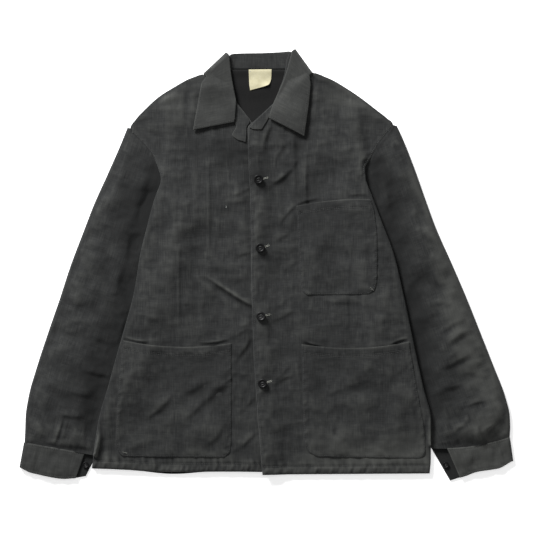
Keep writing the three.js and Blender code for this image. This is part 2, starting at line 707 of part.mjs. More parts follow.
function pointOnLine(line, part) {
  const lengths = line.slice(1).map((p, k) => p.distanceTo(line[k]));
  let left = part * lengths.reduce((sum, length) => sum + length, 0);
  for (let k = 0; k < lengths.length; k++) {
    if (left <= lengths[k]) return new THREE.Vector3().lerpVectors(line[k], line[k + 1], left / lengths[k]);
    left -= lengths[k];
  }
  return line[line.length - 1].clone();
}

function makeSleeve(rows, side, sideLine, outward, cuff, folds) {
  const stations = stationsAlong(rows, [["ox", "oy"], ["ix", "iy"]], alongSpacing);
  const firstOuter = pointAt(rows, "ox", "oy", 0);
  const firstInner = pointAt(rows, "ix", "iy", 0);
  const armhole = [firstOuter, ...armholeLine(...side, outward), firstInner];
  const bendAt = (part) => pointOnLine(armhole, part).sub(firstOuter.clone().lerp(firstInner, part));
  const outer = [];
  const inner = [];
  const lastRow = rows.length - 1;
  for (const t of stations) {
    const a = pointAt(rows, "ox", "oy", t);
    const b = pointAt(rows, "ix", "iy", t);
    const width = a.distanceTo(b);
    const bow = cuff.seamBow * ramp(t, lastRow - 1.5, lastRow);
    const planPoint = (part) => {
      const point = new THREE.Vector3().lerpVectors(a, b, part);
      point.addScaledVector(bendAt(part), Math.max(0, 1 - t / armholeReach) ** 2);
      point.y -= 4 * part * (1 - part) * bow;
      return point;
    };
    const crown = sleeveCrown * ramp(t, ...crownStart) * ramp(lastRow - t, ...crownEnd);
    const thickness = (point) => {
      const beyond = distanceBeyond(sideLine, point.x, point.y, outward);
      return sleeveFlat + crown * ramp(beyond, 0, crownReach);
    };
    const layer = (inset, heightOf) => {
      const scale = Math.min(width / wideRing, 1);
      const parts = [0, ...ringParts.map((part) => (part < 0.5 ? part / scale : 1 - (1 - part) / scale)), 1];
      return parts.map((part) => {
        const kept = inset / width + part * (1 - (2 * inset) / width);
        const point = planPoint(kept);
        const inside = Math.min(part, 1 - part) * width;
        return point.setZ(heightOf(point, inside));
      });
    };
    const ring = (inset, upper, lower) => {
      return [...layer(inset, upper), ...layer(inset, lower).slice(1, -1).reverse()];
    };
    const half = (point, inside) => (thickness(point) / 2) * roundEdge(inside, sleeveFlat / 2);
    const relief = (point, inside) => {
      const beyond = distanceBeyond(sideLine, point.x, point.y, outward);
      const shown = ramp(beyond, ...reliefBeside) * ramp(inside, ...reliefInside);
      return foldHeight(folds, point.x, point.y) * shown;
    };
    outer.push(
      ring(
        0,
        (point, inside) => thickness(point) / 2 + half(point, inside) + relief(point, inside),
        (point, inside) => thickness(point) / 2 - half(point, inside),
      ),
    );
    const hollow = (point) => Math.min(thickness(point) - 2 * sleeveWall, widestGap);
    inner.push(
      ring(
        sleeveWall + ringRim,
        (point, inside) => sleeveWall + hollow(point) * (0.5 + 0.5 * roundEdge(inside, sleeveWall)),
        (point, inside) => sleeveWall + hollow(point) * (0.5 - 0.5 * roundEdge(inside, sleeveWall)),
      ),
    );
  }
  return tubeBody(outer, inner);
}

// A cuff: a band folded round the outer edge, its under end longer than its upper one
const cuffAcross = 4;
const cuffUnderSeams = [1, 0.9, 0.75, 0.55, 0.35, 0.18];
const cuffFoldAngles = [-60, -20, 20, 60];
const cuffUpperSeams = [0.18, 0.35, 0.52, 0.68];
const cuffFoldSeam = 0.025;

function makeCuff(cuff, rows) {
  const last = rows[rows.length - 1];
  const seamPoint = (part) => {
    const point = new THREE.Vector3(last.ox, last.oy, 0).lerp(new THREE.Vector3(last.ix, last.iy, 0), part);
    point.y -= 4 * part * (1 - part) * cuff.seamBow + sideGap + seamGap;
    return point;
  };
  const edgePoint = (part) => {
    const next = Math.max(1, cuff.rows.findIndex((row) => row.seam >= part));
    const from = cuff.rows[next - 1];
    const t = next - 1 + (part - from.seam) / (cuff.rows[next].seam - from.seam);
    return pointAt(cuff.rows, "x", "y", t);
  };
  const ruling = (part, z) => {
    const seam = seamPoint(part);
    const edge = edgePoint(part);
    const points = [];
    for (let j = 0; j <= cuffAcross; j++) {
      points.push(new THREE.Vector3().lerpVectors(seam, edge, j / cuffAcross).setZ(z));
    }
    return points;
  };
  const underZ = cuffWall / 2;
  const middleZ = underZ + cuffFoldRadius;
  const upperZ = middleZ + cuffFoldRadius;
  const outward = Math.sign(last.ox);
  const rulings = cuffUnderSeams.map((part) => ruling(part, underZ));
  for (const angle of cuffFoldAngles) {
    const turn = THREE.MathUtils.degToRad(angle);
    const points = ruling(cuffFoldSeam, middleZ + cuffFoldRadius * Math.sin(turn));
    points.forEach((point) => (point.x += outward * cuffFoldRadius * Math.cos(turn)));
    rulings.push(points);
  }
  for (const part of [...cuffUpperSeams, cuff.topEnd]) rulings.push(ruling(part, upperZ));
  return wallAbout(rulings, cuffWall);
}

// A strip of rulings between two edges of a table, as the middle surface of a wall
function rulingsOf(rows, edgeA, edgeB, across, zOf) {
  return rows.map((row) => {
    const a = new THREE.Vector3(row[edgeA[0]], row[edgeA[1]], 0);
    const b = new THREE.Vector3(row[edgeB[0]], row[edgeB[1]], 0);
    const points = [];
    for (let j = 0; j <= across; j++) {
      const point = new THREE.Vector3().lerpVectors(a, b, j / across);
      points.push(point.setZ(zOf(row, point)));
    }
    return points;
  });
}

// The collar's turn round one of its outer lines, from above to below
function turnRulings(line, inwardX, angles) {
  const roll = new THREE.Vector3(line.rx, line.ry, 0);
  const free = new THREE.Vector3(line.ex, line.ey, 0);
  const along = new THREE.Vector3().subVectors(free, roll).normalize();
  const inward = new THREE.Vector3(along.y, -along.x, 0);
  if (inward.x * inwardX < 0) inward.negate();
  return angles.map((angle) => {
    const turn = THREE.MathUtils.degToRad(angle);
    const inset = collarWall / 2 + turnRadius * (1 - Math.sin(turn));
    const points = [];
    for (let j = 0; j <= fallAcross; j++) {
      const point = new THREE.Vector3().lerpVectors(roll, free, j / fallAcross);
      points.push(point.addScaledVector(inward, inset).setZ(turnMiddle + turnRadius * Math.cos(turn)));
    }
    return points;
  });
}

const fallAcross = 5;
const standAcross = 3;
const collarEdges = [["rx", "ry"], ["ex", "ey"]];

function fallStrip(rows) {
  return rulingsOf(rows, ...collarEdges, fallAcross, (row) => row.z);
}

// Raises a middle surface so that the wall about it clears the layers
function raiseMiddle(middle, wall) {
  for (const point of middle.flat()) point.z -= wall / 2;
  raiseClear(middle, seamGap);
  for (const point of middle.flat()) point.z += wall / 2;
}

function makeFall() {
  const right = fallStrip(leafRightRows);
  const left = fallStrip(leafLeftRows);
  raiseMiddle(right, collarWall);
  raiseMiddle(left, collarWall);
  const falling = turnAngles;
  const rising = [...turnAngles].reverse();
  const middle = [
    ...right,
    ...turnRulings(turnRight, 1, falling),
    ...fallStrip(fallBackRows),
    ...turnRulings(turnLeft, -1, rising),
    ...left,
  ];
  return wallAbout(middle, collarWall);
}

function makeStand() {
  const stand = rulingsOf(standRows, ["nx", "ny"], ["rx", "ry"], standAcross, (row) => row.z);
  raiseMiddle(stand, collarWall);
  return wallAbout(stand, collarWall);
}

// A patch laid on the layers: its outline's two edges, how its upper edge sags and gapes, and its folds
const lowestShare = 0.35;

function makePatch(rows, { across, spacing }, wall, mouth, folds) {
  const stations = stationsAlong(rows, [["ax", "ay"], ["bx", "by"]], spacing);
  const top = Math.max(...rows.map((row) => row.by));
  const lower = stations.map((t) => {
    const a = pointAt(rows, "ax", "ay", t);
    const b = pointAt(rows, "bx", "by", t);
    return Array.from({ length: across + 1 }, (_, j) => {
      const part = j / across;
      const point = new THREE.Vector3().lerpVectors(a, b, part);
      const nearMouth = ramp(point.y, top - mouthReach, top);
      point.y -= mouth.sag * 4 * part * (1 - part) * nearMouth;
      return point;
    });
  });
  raiseClear(lower, seamGap);
  const last = lower.length - 1;
  const upper = lower.map((line, i) =>
    line.map((point, j) => {
      const part = j / across;
      const nearMouth = ramp(point.y, top - mouthReach, top);
      point.z += mouth.gape * 4 * part * (1 - part) * nearMouth;
      const onEdge = i === 0 || i === last || j === 0 || j === across;
      const fold = onEdge ? 0 : Math.max(foldHeight(folds, point.x, point.y), (lowestShare - 1) * wall);
      return point.clone().setZ(point.z + (onEdge ? rimShare : 1) * wall + fold);
    }),
  );
  return sheetBody(lower, upper);
}

// A round button with a raised rim and a dished middle, flat underneath
function makeButton(place, radius, height) {
  const profile = [
    [0, 0],
    [0.8, 0],
    [1, 0.3],
    [1, 0.7],
    [0.84, 1],
    [0.62, 0.7],
    [0, 0.62],
  ].map(([r, z]) => new THREE.Vector2(r * radius, z * height));
  const geometry = new THREE.LatheGeometry(profile, buttonSides);
  geometry.rotateX(Math.PI / 2);
  let seat = 0;
  for (let angle = 0; angle < 360; angle += 15) {
    const turn = THREE.MathUtils.degToRad(angle);
    for (const share of [0, 0.5, 1]) {
      const x = place.x + share * radius * Math.cos(turn);
      const y = place.y + share * radius * Math.sin(turn);
      seat = Math.max(seat, heightOfLayers(x, y));
    }
  }
  geometry.translate(place.x, place.y, seat + seamGap);
  return geometry;
}

// Assembly, from the lowest layer to the highest: each piece is laid down before the next one rests on it
const garment = new THREE.Group();

function lay(name, geometry, finish) {
  garment.add(piece(name, geometry, finish));
  layDown(geometry);
}

const rightSide = ["rx", "ry"];
const leftSide = ["lx", "ly"];
const sleeveRight = makeSleeve(sleeveRightRows, rightSide, sideRight, -1, cuffRight, rightSleeveFolds);
const sleeveLeft = makeSleeve(sleeveLeftRows, leftSide, sideLeft, 1, cuffLeft, leftSleeveFolds);

lay("sleeve_right", sleeveRight, charcoalCloth);
lay("sleeve_left", sleeveLeft, charcoalCloth);
layDown(wallAbout(fallStrip(fallBackRows), collarWall));
lay("back", makeBack(), darkCloth);
lay("front_right", makeFront(rightSide, ["cx", "cy"], rightFrontFolds), charcoalCloth);
lay("facing_right", makePatch(facingRightRows, facingMesh, facingWall, sewnDown, []), charcoalCloth);
lay("front_left", makeFront(["dx", "dy"], leftSide, leftFrontFolds), charcoalCloth);
lay("facing_left", makePatch(facingLeftRows, facingMesh, facingWall, sewnDown, []), charcoalCloth);
lay("label", makePatch(labelRows, labelMesh, labelWall, sewnDown, []), creamTape);
lay("collar_stand", makeStand(), charcoalCloth);
lay("collar_fall", makeFall(), charcoalCloth);
lay("pocket_chest", makePatch(chestPocketRows, chestMesh, pocketWall, chestMouth, []), charcoalCloth);

const hipRight = makePatch(hipPocketRightRows, hipMesh, pocketWall, hipMouth, hipRightFolds);
const hipLeft = makePatch(hipPocketLeftRows, hipMesh, pocketWall, hipMouth, hipLeftFolds);

lay("pocket_hip_right", hipRight, charcoalCloth);
lay("pocket_hip_left", hipLeft, charcoalCloth);
buttonPlaces.forEach((place, k) => {
  lay("button_" + (k + 1), makeButton(place, buttonRadius, buttonHeight), blackButton);
});

// The cuffs lie beside the sleeves' ends, and each button on the under layer past the upper one
function addCuff(name, cuff, rows, buttonName, place) {
  garment.add(piece(name, makeCuff(cuff, rows), charcoalCloth));
  const button = makeButton(place, cuffButtonRadius, cuffButtonHeight);
  button.translate(0, 0, cuffWall);
  garment.add(piece(buttonName, button, blackButton));
}

addCuff("cuff_right", cuffRight, sleeveRightRows, "cuff_button_right", cuffButtonRight);
addCuff("cuff_left", cuffLeft, sleeveLeftRows, "cuff_button_left", cuffButtonLeft);

// The origin is the middle of the jacket's base
const bounds = new THREE.Box3().setFromObject(garment);
const middle = bounds.getCenter(new THREE.Vector3());
garment.position.set(-middle.x, -middle.y, -bounds.min.z);

const jacket = new THREE.Group();
jacket.add(garment);

export default jacket;
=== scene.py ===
import math

import bmesh
import bpy
import numpy as np
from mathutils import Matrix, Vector
from mathutils.bvhtree import BVHTree


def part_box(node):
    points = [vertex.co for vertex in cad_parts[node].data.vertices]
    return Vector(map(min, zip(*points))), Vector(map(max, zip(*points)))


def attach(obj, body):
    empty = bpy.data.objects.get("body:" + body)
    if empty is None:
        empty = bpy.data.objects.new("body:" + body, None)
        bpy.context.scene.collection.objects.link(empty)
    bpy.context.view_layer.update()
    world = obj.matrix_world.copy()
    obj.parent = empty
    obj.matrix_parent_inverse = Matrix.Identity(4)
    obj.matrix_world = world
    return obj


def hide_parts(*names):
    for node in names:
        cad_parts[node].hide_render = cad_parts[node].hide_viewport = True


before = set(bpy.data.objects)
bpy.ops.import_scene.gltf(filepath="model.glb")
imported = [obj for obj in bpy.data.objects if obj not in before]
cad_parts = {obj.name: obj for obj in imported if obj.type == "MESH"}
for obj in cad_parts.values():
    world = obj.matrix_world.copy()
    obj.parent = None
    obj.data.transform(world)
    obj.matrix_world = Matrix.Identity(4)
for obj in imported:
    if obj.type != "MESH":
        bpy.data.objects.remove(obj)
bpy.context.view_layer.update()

# Padded work jacket, laid flat on its back with its front up. Places and sizes are in millimetres, X towards
# the wearer's left and Y towards the collar, until a mesh is made. Pieces are laid from the lowest up.

# Sleeves: tubes of plain-woven cotton over a thin padding, flattened by their own weight. Each is set in
# the armhole at the top and gathered by pleats into its cuff, and its inner part lies under the body.


def table(columns, *rows):
    """Rows of numbers as one array for each named column."""
    return dict(zip(columns.split(), np.array(rows, float).T))


SLEEVE_RIGHT = table(
    "ox oy ix iy",
    (-243, 239, -154, 120),
    (-256, 207, -158, 99),
    (-278, 157, -164, 71),
    (-301, 106, -173, 41),
    (-320, 57, -180, 15),
    (-342, -1, -191, -31),
    (-362, -62, -204, -83),
    (-382, -120, -220, -137),
    (-401, -178, -246, -195),
    (-415, -227, -272, -241),
    (-421, -265, -290, -279),
    (-422, -293, -289, -307),
    (-423, -311.5, -297, -334),
)
SLEEVE_LEFT = table(
    "ox oy ix iy",
    (228, 242, 140, 120),
    (241, 213, 144, 99),
    (260, 164, 151, 71),
    (278, 113, 161, 41),
    (296, 64, 172, 15),
    (324, 1, 186, -31),
    (351, -62, 200, -83),
    (374, -120, 215, -137),
    (397, -178, 240, -192),
    (416, -227, 264, -237),
    (425, -263, 283, -268),
    (426, -284, 284, -298),
    (425, -302, 287.5, -321),
)
# The body's outline, a row for each height from the hem to the neck: right side edge, right front's centre
# edge, left front's centre edge, left side edge
BODY = table(
    "rx ry cx cy dx dy lx ly",
    (-305, -356, 19, -363, -7, -367, 285, -365),
    (-301, -325, 17, -333, -9.5, -337, 287, -336),
    (-292, -269, 11, -272, -15, -272, 287, -274),
    (-276, -213, 8, -216, -19, -211, 273, -213),
    (-259, -151, 4, -153, -22.5, -153, 259.5, -152),
    (-246, -106, 3, -106, -24, -106, 250, -106),
    (-230, -45, 1, -45, -26, -45, 237, -45),
    (-220, 17, -1, 17, -27, 17, 222.5, 16),
    (-206, 74, -1, 74, -27.5, 74, 201, 74),
    (-196, 111, -2, 113, -28, 112, 187, 111),
    (-184, 148, -4, 155, -30, 150, 173, 150),
    (-188, 166, -5, 179, -31, 172, 172, 167),
    (-196, 185, -6, 200, -32, 194, 182, 185),
    (-212, 206, -7, 220, -32, 213, 196, 209),
    (-238, 237, -24, 246, -33, 237, 221, 244),
    (-228, 254, -35, 261, -21, 251, 210, 256),
    (-210, 273, -46, 275, -9, 262, 192, 270),
    (-189, 292, -56, 290, 5, 275, 170, 287),
    (-164, 308, -67, 304, 23, 292, 144, 305),
    (-136, 323.5, -82, 318, 41, 312, 112, 323.5),
    (-112, 332, -93, 325, 61, 326, 81, 335),
)
UNDERARM_ROW, SHOULDER_TIP_ROW = 10, 14
# The rows over which a sleeve's head follows the armhole, and how far its cuff seam bows towards the hand
ARMHOLE_REACH = 3.5
CUFF_SEAM_BOW = {"right": 0, "left": 7}

# Folds: from, to, how far the middle bows to the left of that line, half width, and height, below zero
# for a trough. Each ridge has a shallow trough along its right side.
SLEEVE_FOLDS = {
    "right": (
        (-245, 53, -252, -2, 3, 6, 1.5),
        (-252, -4, -263, -54, -4, 6, 1.4),
        (-262, -54, -246, -88, 3, 7, 1.1),
        (-323, -178, -268, -194, -3, 5, 1.5),
        (-366, -256, -311, -263, -3, 4.5, 1.2),
        (-355, -262, -374, -318, 2, 3.5, 1.8),
        (-341, -268, -350, -320, -2, 5, -1.1),
        (-236, 190, -262, 118, 7, 9, -1.5),
        (-206, 150, -232, 60, 10, 10, -1.6),
        (-300, 92, -262, 66, -5, 6, 0.8),
        (-318, 40, -270, 20, 5, 7, 0.8),
        (-352, -48, -300, -70, -5, 8, 1),
        (-372, -112, -306, -96, 6, 6, 0.8),
        (-385, -150, -330, -150, -5, 6, -0.6),
        (-330, -118, -262, -140, 5, 7, 1),
        (-402, -204, -350, -226, 5, 6, 0.8),
        (-345, -214, -296, -228, -4, 5, 0.8),
        (-405, -262, -385, -300, -2, 5, 1),
        (-290, 10, -300, -90, 12, 12, -1.2),
        (-320, -270, -322, -322, 2, 4, 0.8),
    ),
    "left": (
        (299, -150, 364, -106, 5, 7, 1.9),
        (296, -179, 362, -146, -4, 6, 1.5),
        (300, -128, 352, -100, 3, 6, -1.1),
        (344, -247, 389, -235, 3, 4.5, 1.4),
        (327, -286, 347, -281, 2, 4, 1.1),
        (365, -281, 376, -307, -2, 3.5, 1.6),
        (347, -261, 351, -275, 0, 3, 1.1),
        (376, -303, 409, -274, 8, 5, 1.6),
        (222, 150, 236, 60, -8, 9, -1.6),
        (242, 190, 262, 120, -6, 9, -1.2),
        (200, 60, 236, -40, -6, 10, -1.4),
        (268, 60, 306, 30, 5, 7, 1),
        (262, -10, 330, -32, -6, 8, 1),
        (272, -70, 342, -66, 5, 7, 0.8),
        (330, -190, 392, -196, 6, 6, 1),
        (300, -214, 340, -206, -3, 5, 0.8),
        (398, -240, 412, -276, 3, 6, 1.1),
        (256, 100, 270, 40, -4, 6, 0.8),
        (308, -255, 312, -306, 2, 5, 0.8),
    ),
}


def ramp(value, low, high):
    """From 0 at the first value to 1 at the second, level at both."""
    part = np.clip((value - low) / (high - low), 0, 1)
    return part * part * (3 - 2 * part)


def round_edge(distance, radius):
    """The round profile of an edge: 0 at the edge, 1 from one radius in."""
    left = 1 - np.clip(distance / radius, 0, 1)
    return np.sqrt(1 - left * left)


def column_at(rows, name, t):
    """A column of a table at row numbers t, by a curve that never overshoots a row."""
    steps = np.diff(rows[name])
    before, after = steps[:-1], steps[1:]
    total = np.where(before + after == 0, 1, before + after)
    inner = np.where(before * after > 0, 2 * before * after / total, 0)
    slopes = np.concatenate((steps[:1], inner, steps[-1:]))
    i = np.clip(np.floor(t).astype(int), 0, len(steps) - 1)
    part, rise, start, end = t - i, steps[i], slopes[i], slopes[i + 1]
    curve = 3 * rise - 2 * start - end + part * (start + end - 2 * rise)
    return rows[name][i] + part * (start + part * curve)


def edge_at(rows, x, y, t):
    return np.stack((column_at(rows, x, t), column_at(rows, y, t)), -1)


# The height of the cloth is worked out on a level grid of cells that covers the whole jacket
CELL = 1.5
grid_x = np.arange(-447, 447.1, CELL)
grid_y = np.arange(-393, 393.1, CELL)
GRID_X, GRID_Y = np.meshgrid(grid_x, grid_y, indexing="ij")


def blurred(field, across, along):
    """A field blurred by so many millimetres along X and along Y."""
    fx = np.fft.fftfreq(field.shape[0], CELL)[:, None]
    fy = np.fft.rfftfreq(field.shape[1], CELL)[None, :]
    response = np.exp(-2 * (np.pi * across * fx) ** 2 - 2 * (np.pi * along * fy) ** 2)
    return np.fft.irfft2(np.fft.rfft2(field) * response, field.shape)


def noise(seed, across, along):
    """Soft random heights of about 1, so many millimetres broad along X and along Y."""
    field = blurred(np.random.default_rng(seed).standard_normal(GRID_X.shape), across, along)
    return field / field.std()


def sampled(field, x, y, wrap=False):
    """A field's values at places between its cells."""
    u, v = (x - grid_x[0]) / CELL, (y - grid_y[0]) / CELL
    if wrap:
        u, v = u % (field.shape[0] - 1), v % (field.shape[1] - 1)
    i = np.clip(u.astype(int), 0, field.shape[0] - 2)
    j = np.clip(v.astype(int), 0, field.shape[1] - 2)
    u, v = np.clip(u - i, 0, 1), np.clip(v - j, 0, 1)
    near = field[i, j] * (1 - v) + field[i, j + 1] * v
    return near * (1 - u) + (field[i + 1, j] * (1 - v) + field[i + 1, j + 1] * v) * u


def run_along(line):
    """How far along a line each of its points is."""
    return np.concatenate(([0], np.cumsum(np.hypot(*np.diff(line, axis=0).T))))


def point_on(line, share):
    """Points at so many shares of a line's length."""
    run = run_along(line)
    return np.stack([np.interp(share * run[-1], run, line[:, k]) for k in (0, 1)], -1)


def nearest(line, x, y):
    """The distance to a line of points, how far along it that is, and its side, above 0 on its left."""
    far, run, side = np.full(np.shape(x), 1e3), np.zeros(np.shape(x)), np.ones(np.shape(x))
    start = 0.0
    for (ax, ay), (bx, by) in zip(line[:-1], line[1:]):
        dx, dy = bx - ax, by - ay
        length = math.hypot(dx, dy)
        if length < 1e-6:
            continue
        part = np.clip(((x - ax) * dx + (y - ay) * dy) / length**2, 0, 1)
        away = np.hypot(ax + part * dx - x, ay + part * dy - y)
        closer = away < far
        far = np.where(closer, away, far)
        run = np.where(closer, start + part * length, run)
        side = np.where(closer, np.sign(dx * (y - ay) - dy * (x - ax)), side)
        start += length
    return far, run, side


def window(line, margin):
    """The part of the grid round some points."""
    low, high = np.min(line, 0) - margin, np.max(line, 0) + margin
    i0, i1 = np.searchsorted(grid_x, (low[0], high[0]))
    j0, j1 = np.searchsorted(grid_y, (low[1], high[1]))
    return slice(i0, i1), slice(j0, j1)


def outline_fields(outline):
    """Which cells lie inside an outline, and how far each is from its edge."""
    closed = np.vstack((outline, outline[:1]))
    part = window(outline, 16)
    x, y = GRID_X[part], GRID_Y[part]
    crossings = np.zeros(x.shape, int)
    for (ax, ay), (bx, by) in zip(closed[:-1], closed[1:]):
        if ay != by:
            between = (y > min(ay, by)) & (y <= max(ay, by))
            crossings += between & (x < ax + (y - ay) * (bx - ax) / (by - ay))
    inside, inset = np.zeros(GRID_X.shape, bool), np.full(GRID_X.shape, -1e3)
    inside[part] = crossings % 2 == 1
    inset[part] = nearest(closed, x, y)[0]
    return inside, np.where(inside, inset, -np.abs(inset))


def fold_relief(folds):
    """Ridges and troughs that fade out at their ends, with the steeper face towards the hem and the left."""
    relief = np.zeros(GRID_X.shape)
    part = np.linspace(0, 1, 9)
    for x0, y0, x1, y1, bow, half, height in folds:
        length = math.hypot(x1 - x0, y1 - y0)
        out = 4 * bow * part * (1 - part) / length
        line = np.stack(
            (x0 + part * (x1 - x0) - out * (y1 - y0), y0 + part * (y1 - y0) + out * (x1 - x0)), -1
        )
        here = window(line, 4 * half)
        far, run, side = nearest(line, GRID_X[here], GRID_Y[here])
        side = side * math.copysign(1, height * (0.5 * (y1 - y0) + 0.86 * (x1 - x0)))
        fade = np.sin(np.pi * np.clip(run / length, 0, 1)) ** 0.9
        ridge = np.exp(-((far / (half * np.where(side > 0, 1.8, 0.9))) ** 2))
        dip = np.exp(-(((far * side + 1.5 * half) / (0.8 * half)) ** 2))
        relief[here] += height * fade * (ridge - 0.35 * dip)
    return relief


def seam_relief(line, seed, groove, pucker, wave=9.0, reach=7.0, lean=0.5):
    """A stitched line: a fine groove, with small puckers that lean across it."""
    relief = np.zeros(GRID_X.shape)
    here = window(line, 3 * reach)
    far, run, side = nearest(line, GRID_X[here], GRID_Y[here])
    step = 0.5
    count = int((run.max() + 6 * reach) / step) + 2
    kernel = np.exp(-0.5 * ((np.arange(-40, 41) * step) / (wave / 4)) ** 2)
    signal = np.convolve(np.random.default_rng(seed).standard_normal(count + 80), kernel, "valid")
    signal /= signal.std()
    place = run + lean * far * side + 3 * reach
    waves = np.interp(place, np.arange(len(signal)) * step, signal)
    relief[here] = pucker * waves * np.exp(-((far / reach) ** 2)) - groove * np.exp(-((far / 1.6) ** 2))
    return relief


# The tables' places are moved to the frame's by the first button, whose place is known in both
FIRST_BUTTON = np.array((-14.0, 148.0))
button_low, button_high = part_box("button_1")
SHIFT = np.array([(button_low[k] + button_high[k]) * 500 - FIRST_BUTTON[k] for k in (0, 1)])


def surface_of(mesh):
    return BVHTree.FromPolygons([v.co for v in mesh.vertices], [list(p.vertices) for p in mesh.polygons])


def solid_top(node, inside, inset, reach):
    """The top of a piece's solid, smoothed over its facets and carried on past its edges."""
    tree = surface_of(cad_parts[node].data)
    known = inside & (inset > reach)
    top = np.zeros(GRID_X.shape)
    down = Vector((0, 0, -1))
    for i, j in zip(*np.nonzero(known)):
        start = Vector(((grid_x[i] + SHIFT[0]) / 1000, (grid_y[j] + SHIFT[1]) / 1000, 1))
        hit = tree.ray_cast(start, down)[0]
        if hit is None:
            known[i, j] = False
        else:
            top[i, j] = hit.z * 1000
    weight = blurred(known.astype(float), reach, reach)
    smooth = blurred(top, reach, reach) / np.maximum(weight, 1e-9)
    return np.where(weight > 1e-5, smooth, top[known].mean())


# The highest cloth laid so far at each cell, from the surface that the jacket lies on
laid = np.zeros(GRID_X.shape)


def resting(top, inside, clear):
    """A top raised over the layers below it, softly where they step up."""
    for _ in range(3):
        lack = np.where(inside, np.maximum(laid + clear - top, 0), 0)
        top = top + 1.3 * blurred(lack, 2.5, 2.5)
    return np.where(inside, np.maximum(top, laid + 0.8 * clear), top)


def levelled(field, inside, reach):
    """A field smoothed within a piece only."""
    weight = np.maximum(blurred(inside.astype(float), reach, reach), 1e-6)
    return blurred(np.where(inside, field, 0), reach, reach) / weight


# A rim rolls under: steps round it, from below to the top
ROLL = np.radians([-55, -25, 5, 35, 62, 90])


def rolled_shares(widths, rim, spacing):
    """Places across rows of the given widths, with the roll of a rim at both ends, and their levels."""
    insets = rim * (1 - np.cos(ROLL))
    count = max(2, round((np.max(widths) - 2 * rim) / spacing))
    even = np.arange(1, count) / count
    widths = np.asarray(widths)[:, None]
    middle = rim + (widths - 2 * rim) * even
    places = np.hstack((insets + 0 * widths, middle, widths - insets[::-1]))
    levels = np.concatenate((np.sin(ROLL), np.ones(count - 1), np.sin(ROLL[::-1])))
    return places / widths, levels


def stations(rows, columns, rim, spacing):
    """Row numbers along a table, with the roll of a rim at both ends, and their levels."""
    fine = np.linspace(0, len(rows[columns[0]]) - 1, 400)
    middle = sum(edge_at(rows, columns[k], columns[k + 1], fine) for k in (0, 2)) / 2
    run = run_along(middle)
    shares, levels = rolled_shares([run[-1]], rim, spacing)
    return np.interp(shares[0] * run[-1], run, fine), levels


def grid_faces(first, rows, columns, wrap=False):
    """Four-sided faces between the points of a grid, closed across its rows where it wraps."""
    i, j = np.meshgrid(np.arange(rows - 1), np.arange(columns if wrap else columns - 1), indexing="ij")
    k = (j + 1) % columns
    quads = np.stack((i * columns + j, i * columns + k, (i + 1) * columns + k, (i + 1) * columns + j), -1)
    return (quads.reshape(-1, 4) + first).tolist()


def zipped(one, two):
    """Triangles between two rows of points that run the same way."""
    faces, i, j = [], 0, 0
    while i < len(one) - 1 or j < len(two) - 1:
        if j == len(two) - 1 or (i + 1) * (len(two) - 1) <= (j + 1) * (len(one) - 1) and i < len(one) - 1:
            faces.append((one[i], one[i + 1], two[j]))
            i += 1
        else:
            faces.append((one[i], two[j + 1], two[j]))
            j += 1
    return faces


def added(name, data):
    """A new object in the scene."""
    item = bpy.data.objects.new(name, data)
    bpy.context.scene.collection.objects.link(item)
    return item


def closed_mesh(name, points, faces):
    """A smooth closed mesh in the frame's place and in metres, its faces outwards."""
    mesh = bpy.data.meshes.new(name)
    placed = (points + np.array((SHIFT[0], SHIFT[1], 0))) / 1000
    mesh.from_pydata(placed.tolist(), [], faces)
    shell = bmesh.new()
    shell.from_mesh(mesh)
    bmesh.ops.recalc_face_normals(shell, faces=shell.faces)
    shell.to_mesh(mesh)
    shell.free()
    mesh.shade_smooth()
    return mesh


def cloth_mesh(name, points, faces, cut, wear_and_painted_light, material):
    """A closed piece of cloth, with its place on the cut as its UV map, and its wear and painted light and
    shade as an attribute.
    """
    mesh = closed_mesh(name, points, faces)
    corner = np.empty(len(mesh.loops), np.int32)
    mesh.loops.foreach_get("vertex_index", corner)
    mesh.uv_layers.new(name="cut").data.foreach_set("uv", (cut[corner] / 1000).astype(np.float32).ravel())
    mesh.attributes.new("wear_and_painted_light", "FLOAT", "POINT").data.foreach_set("value", wear_and_painted_light.astype(np.float32))
    mesh.materials.append(material)
    return added(name, mesh)


# The cloth simulation: spacing of its points, frames, and millimetres to a metre in it, which makes the cloth
# ten times its size, where the solver is steady
SIM_SPACING, SIM_FRAMES, SIM_METRE = 7.0, 26, 100
SIM_STIFFNESS, SIM_BENDING, SIM_DAMPING = 15, 1.0, 2
SIM_START = 0.8
SIM_BLUR = 3.5


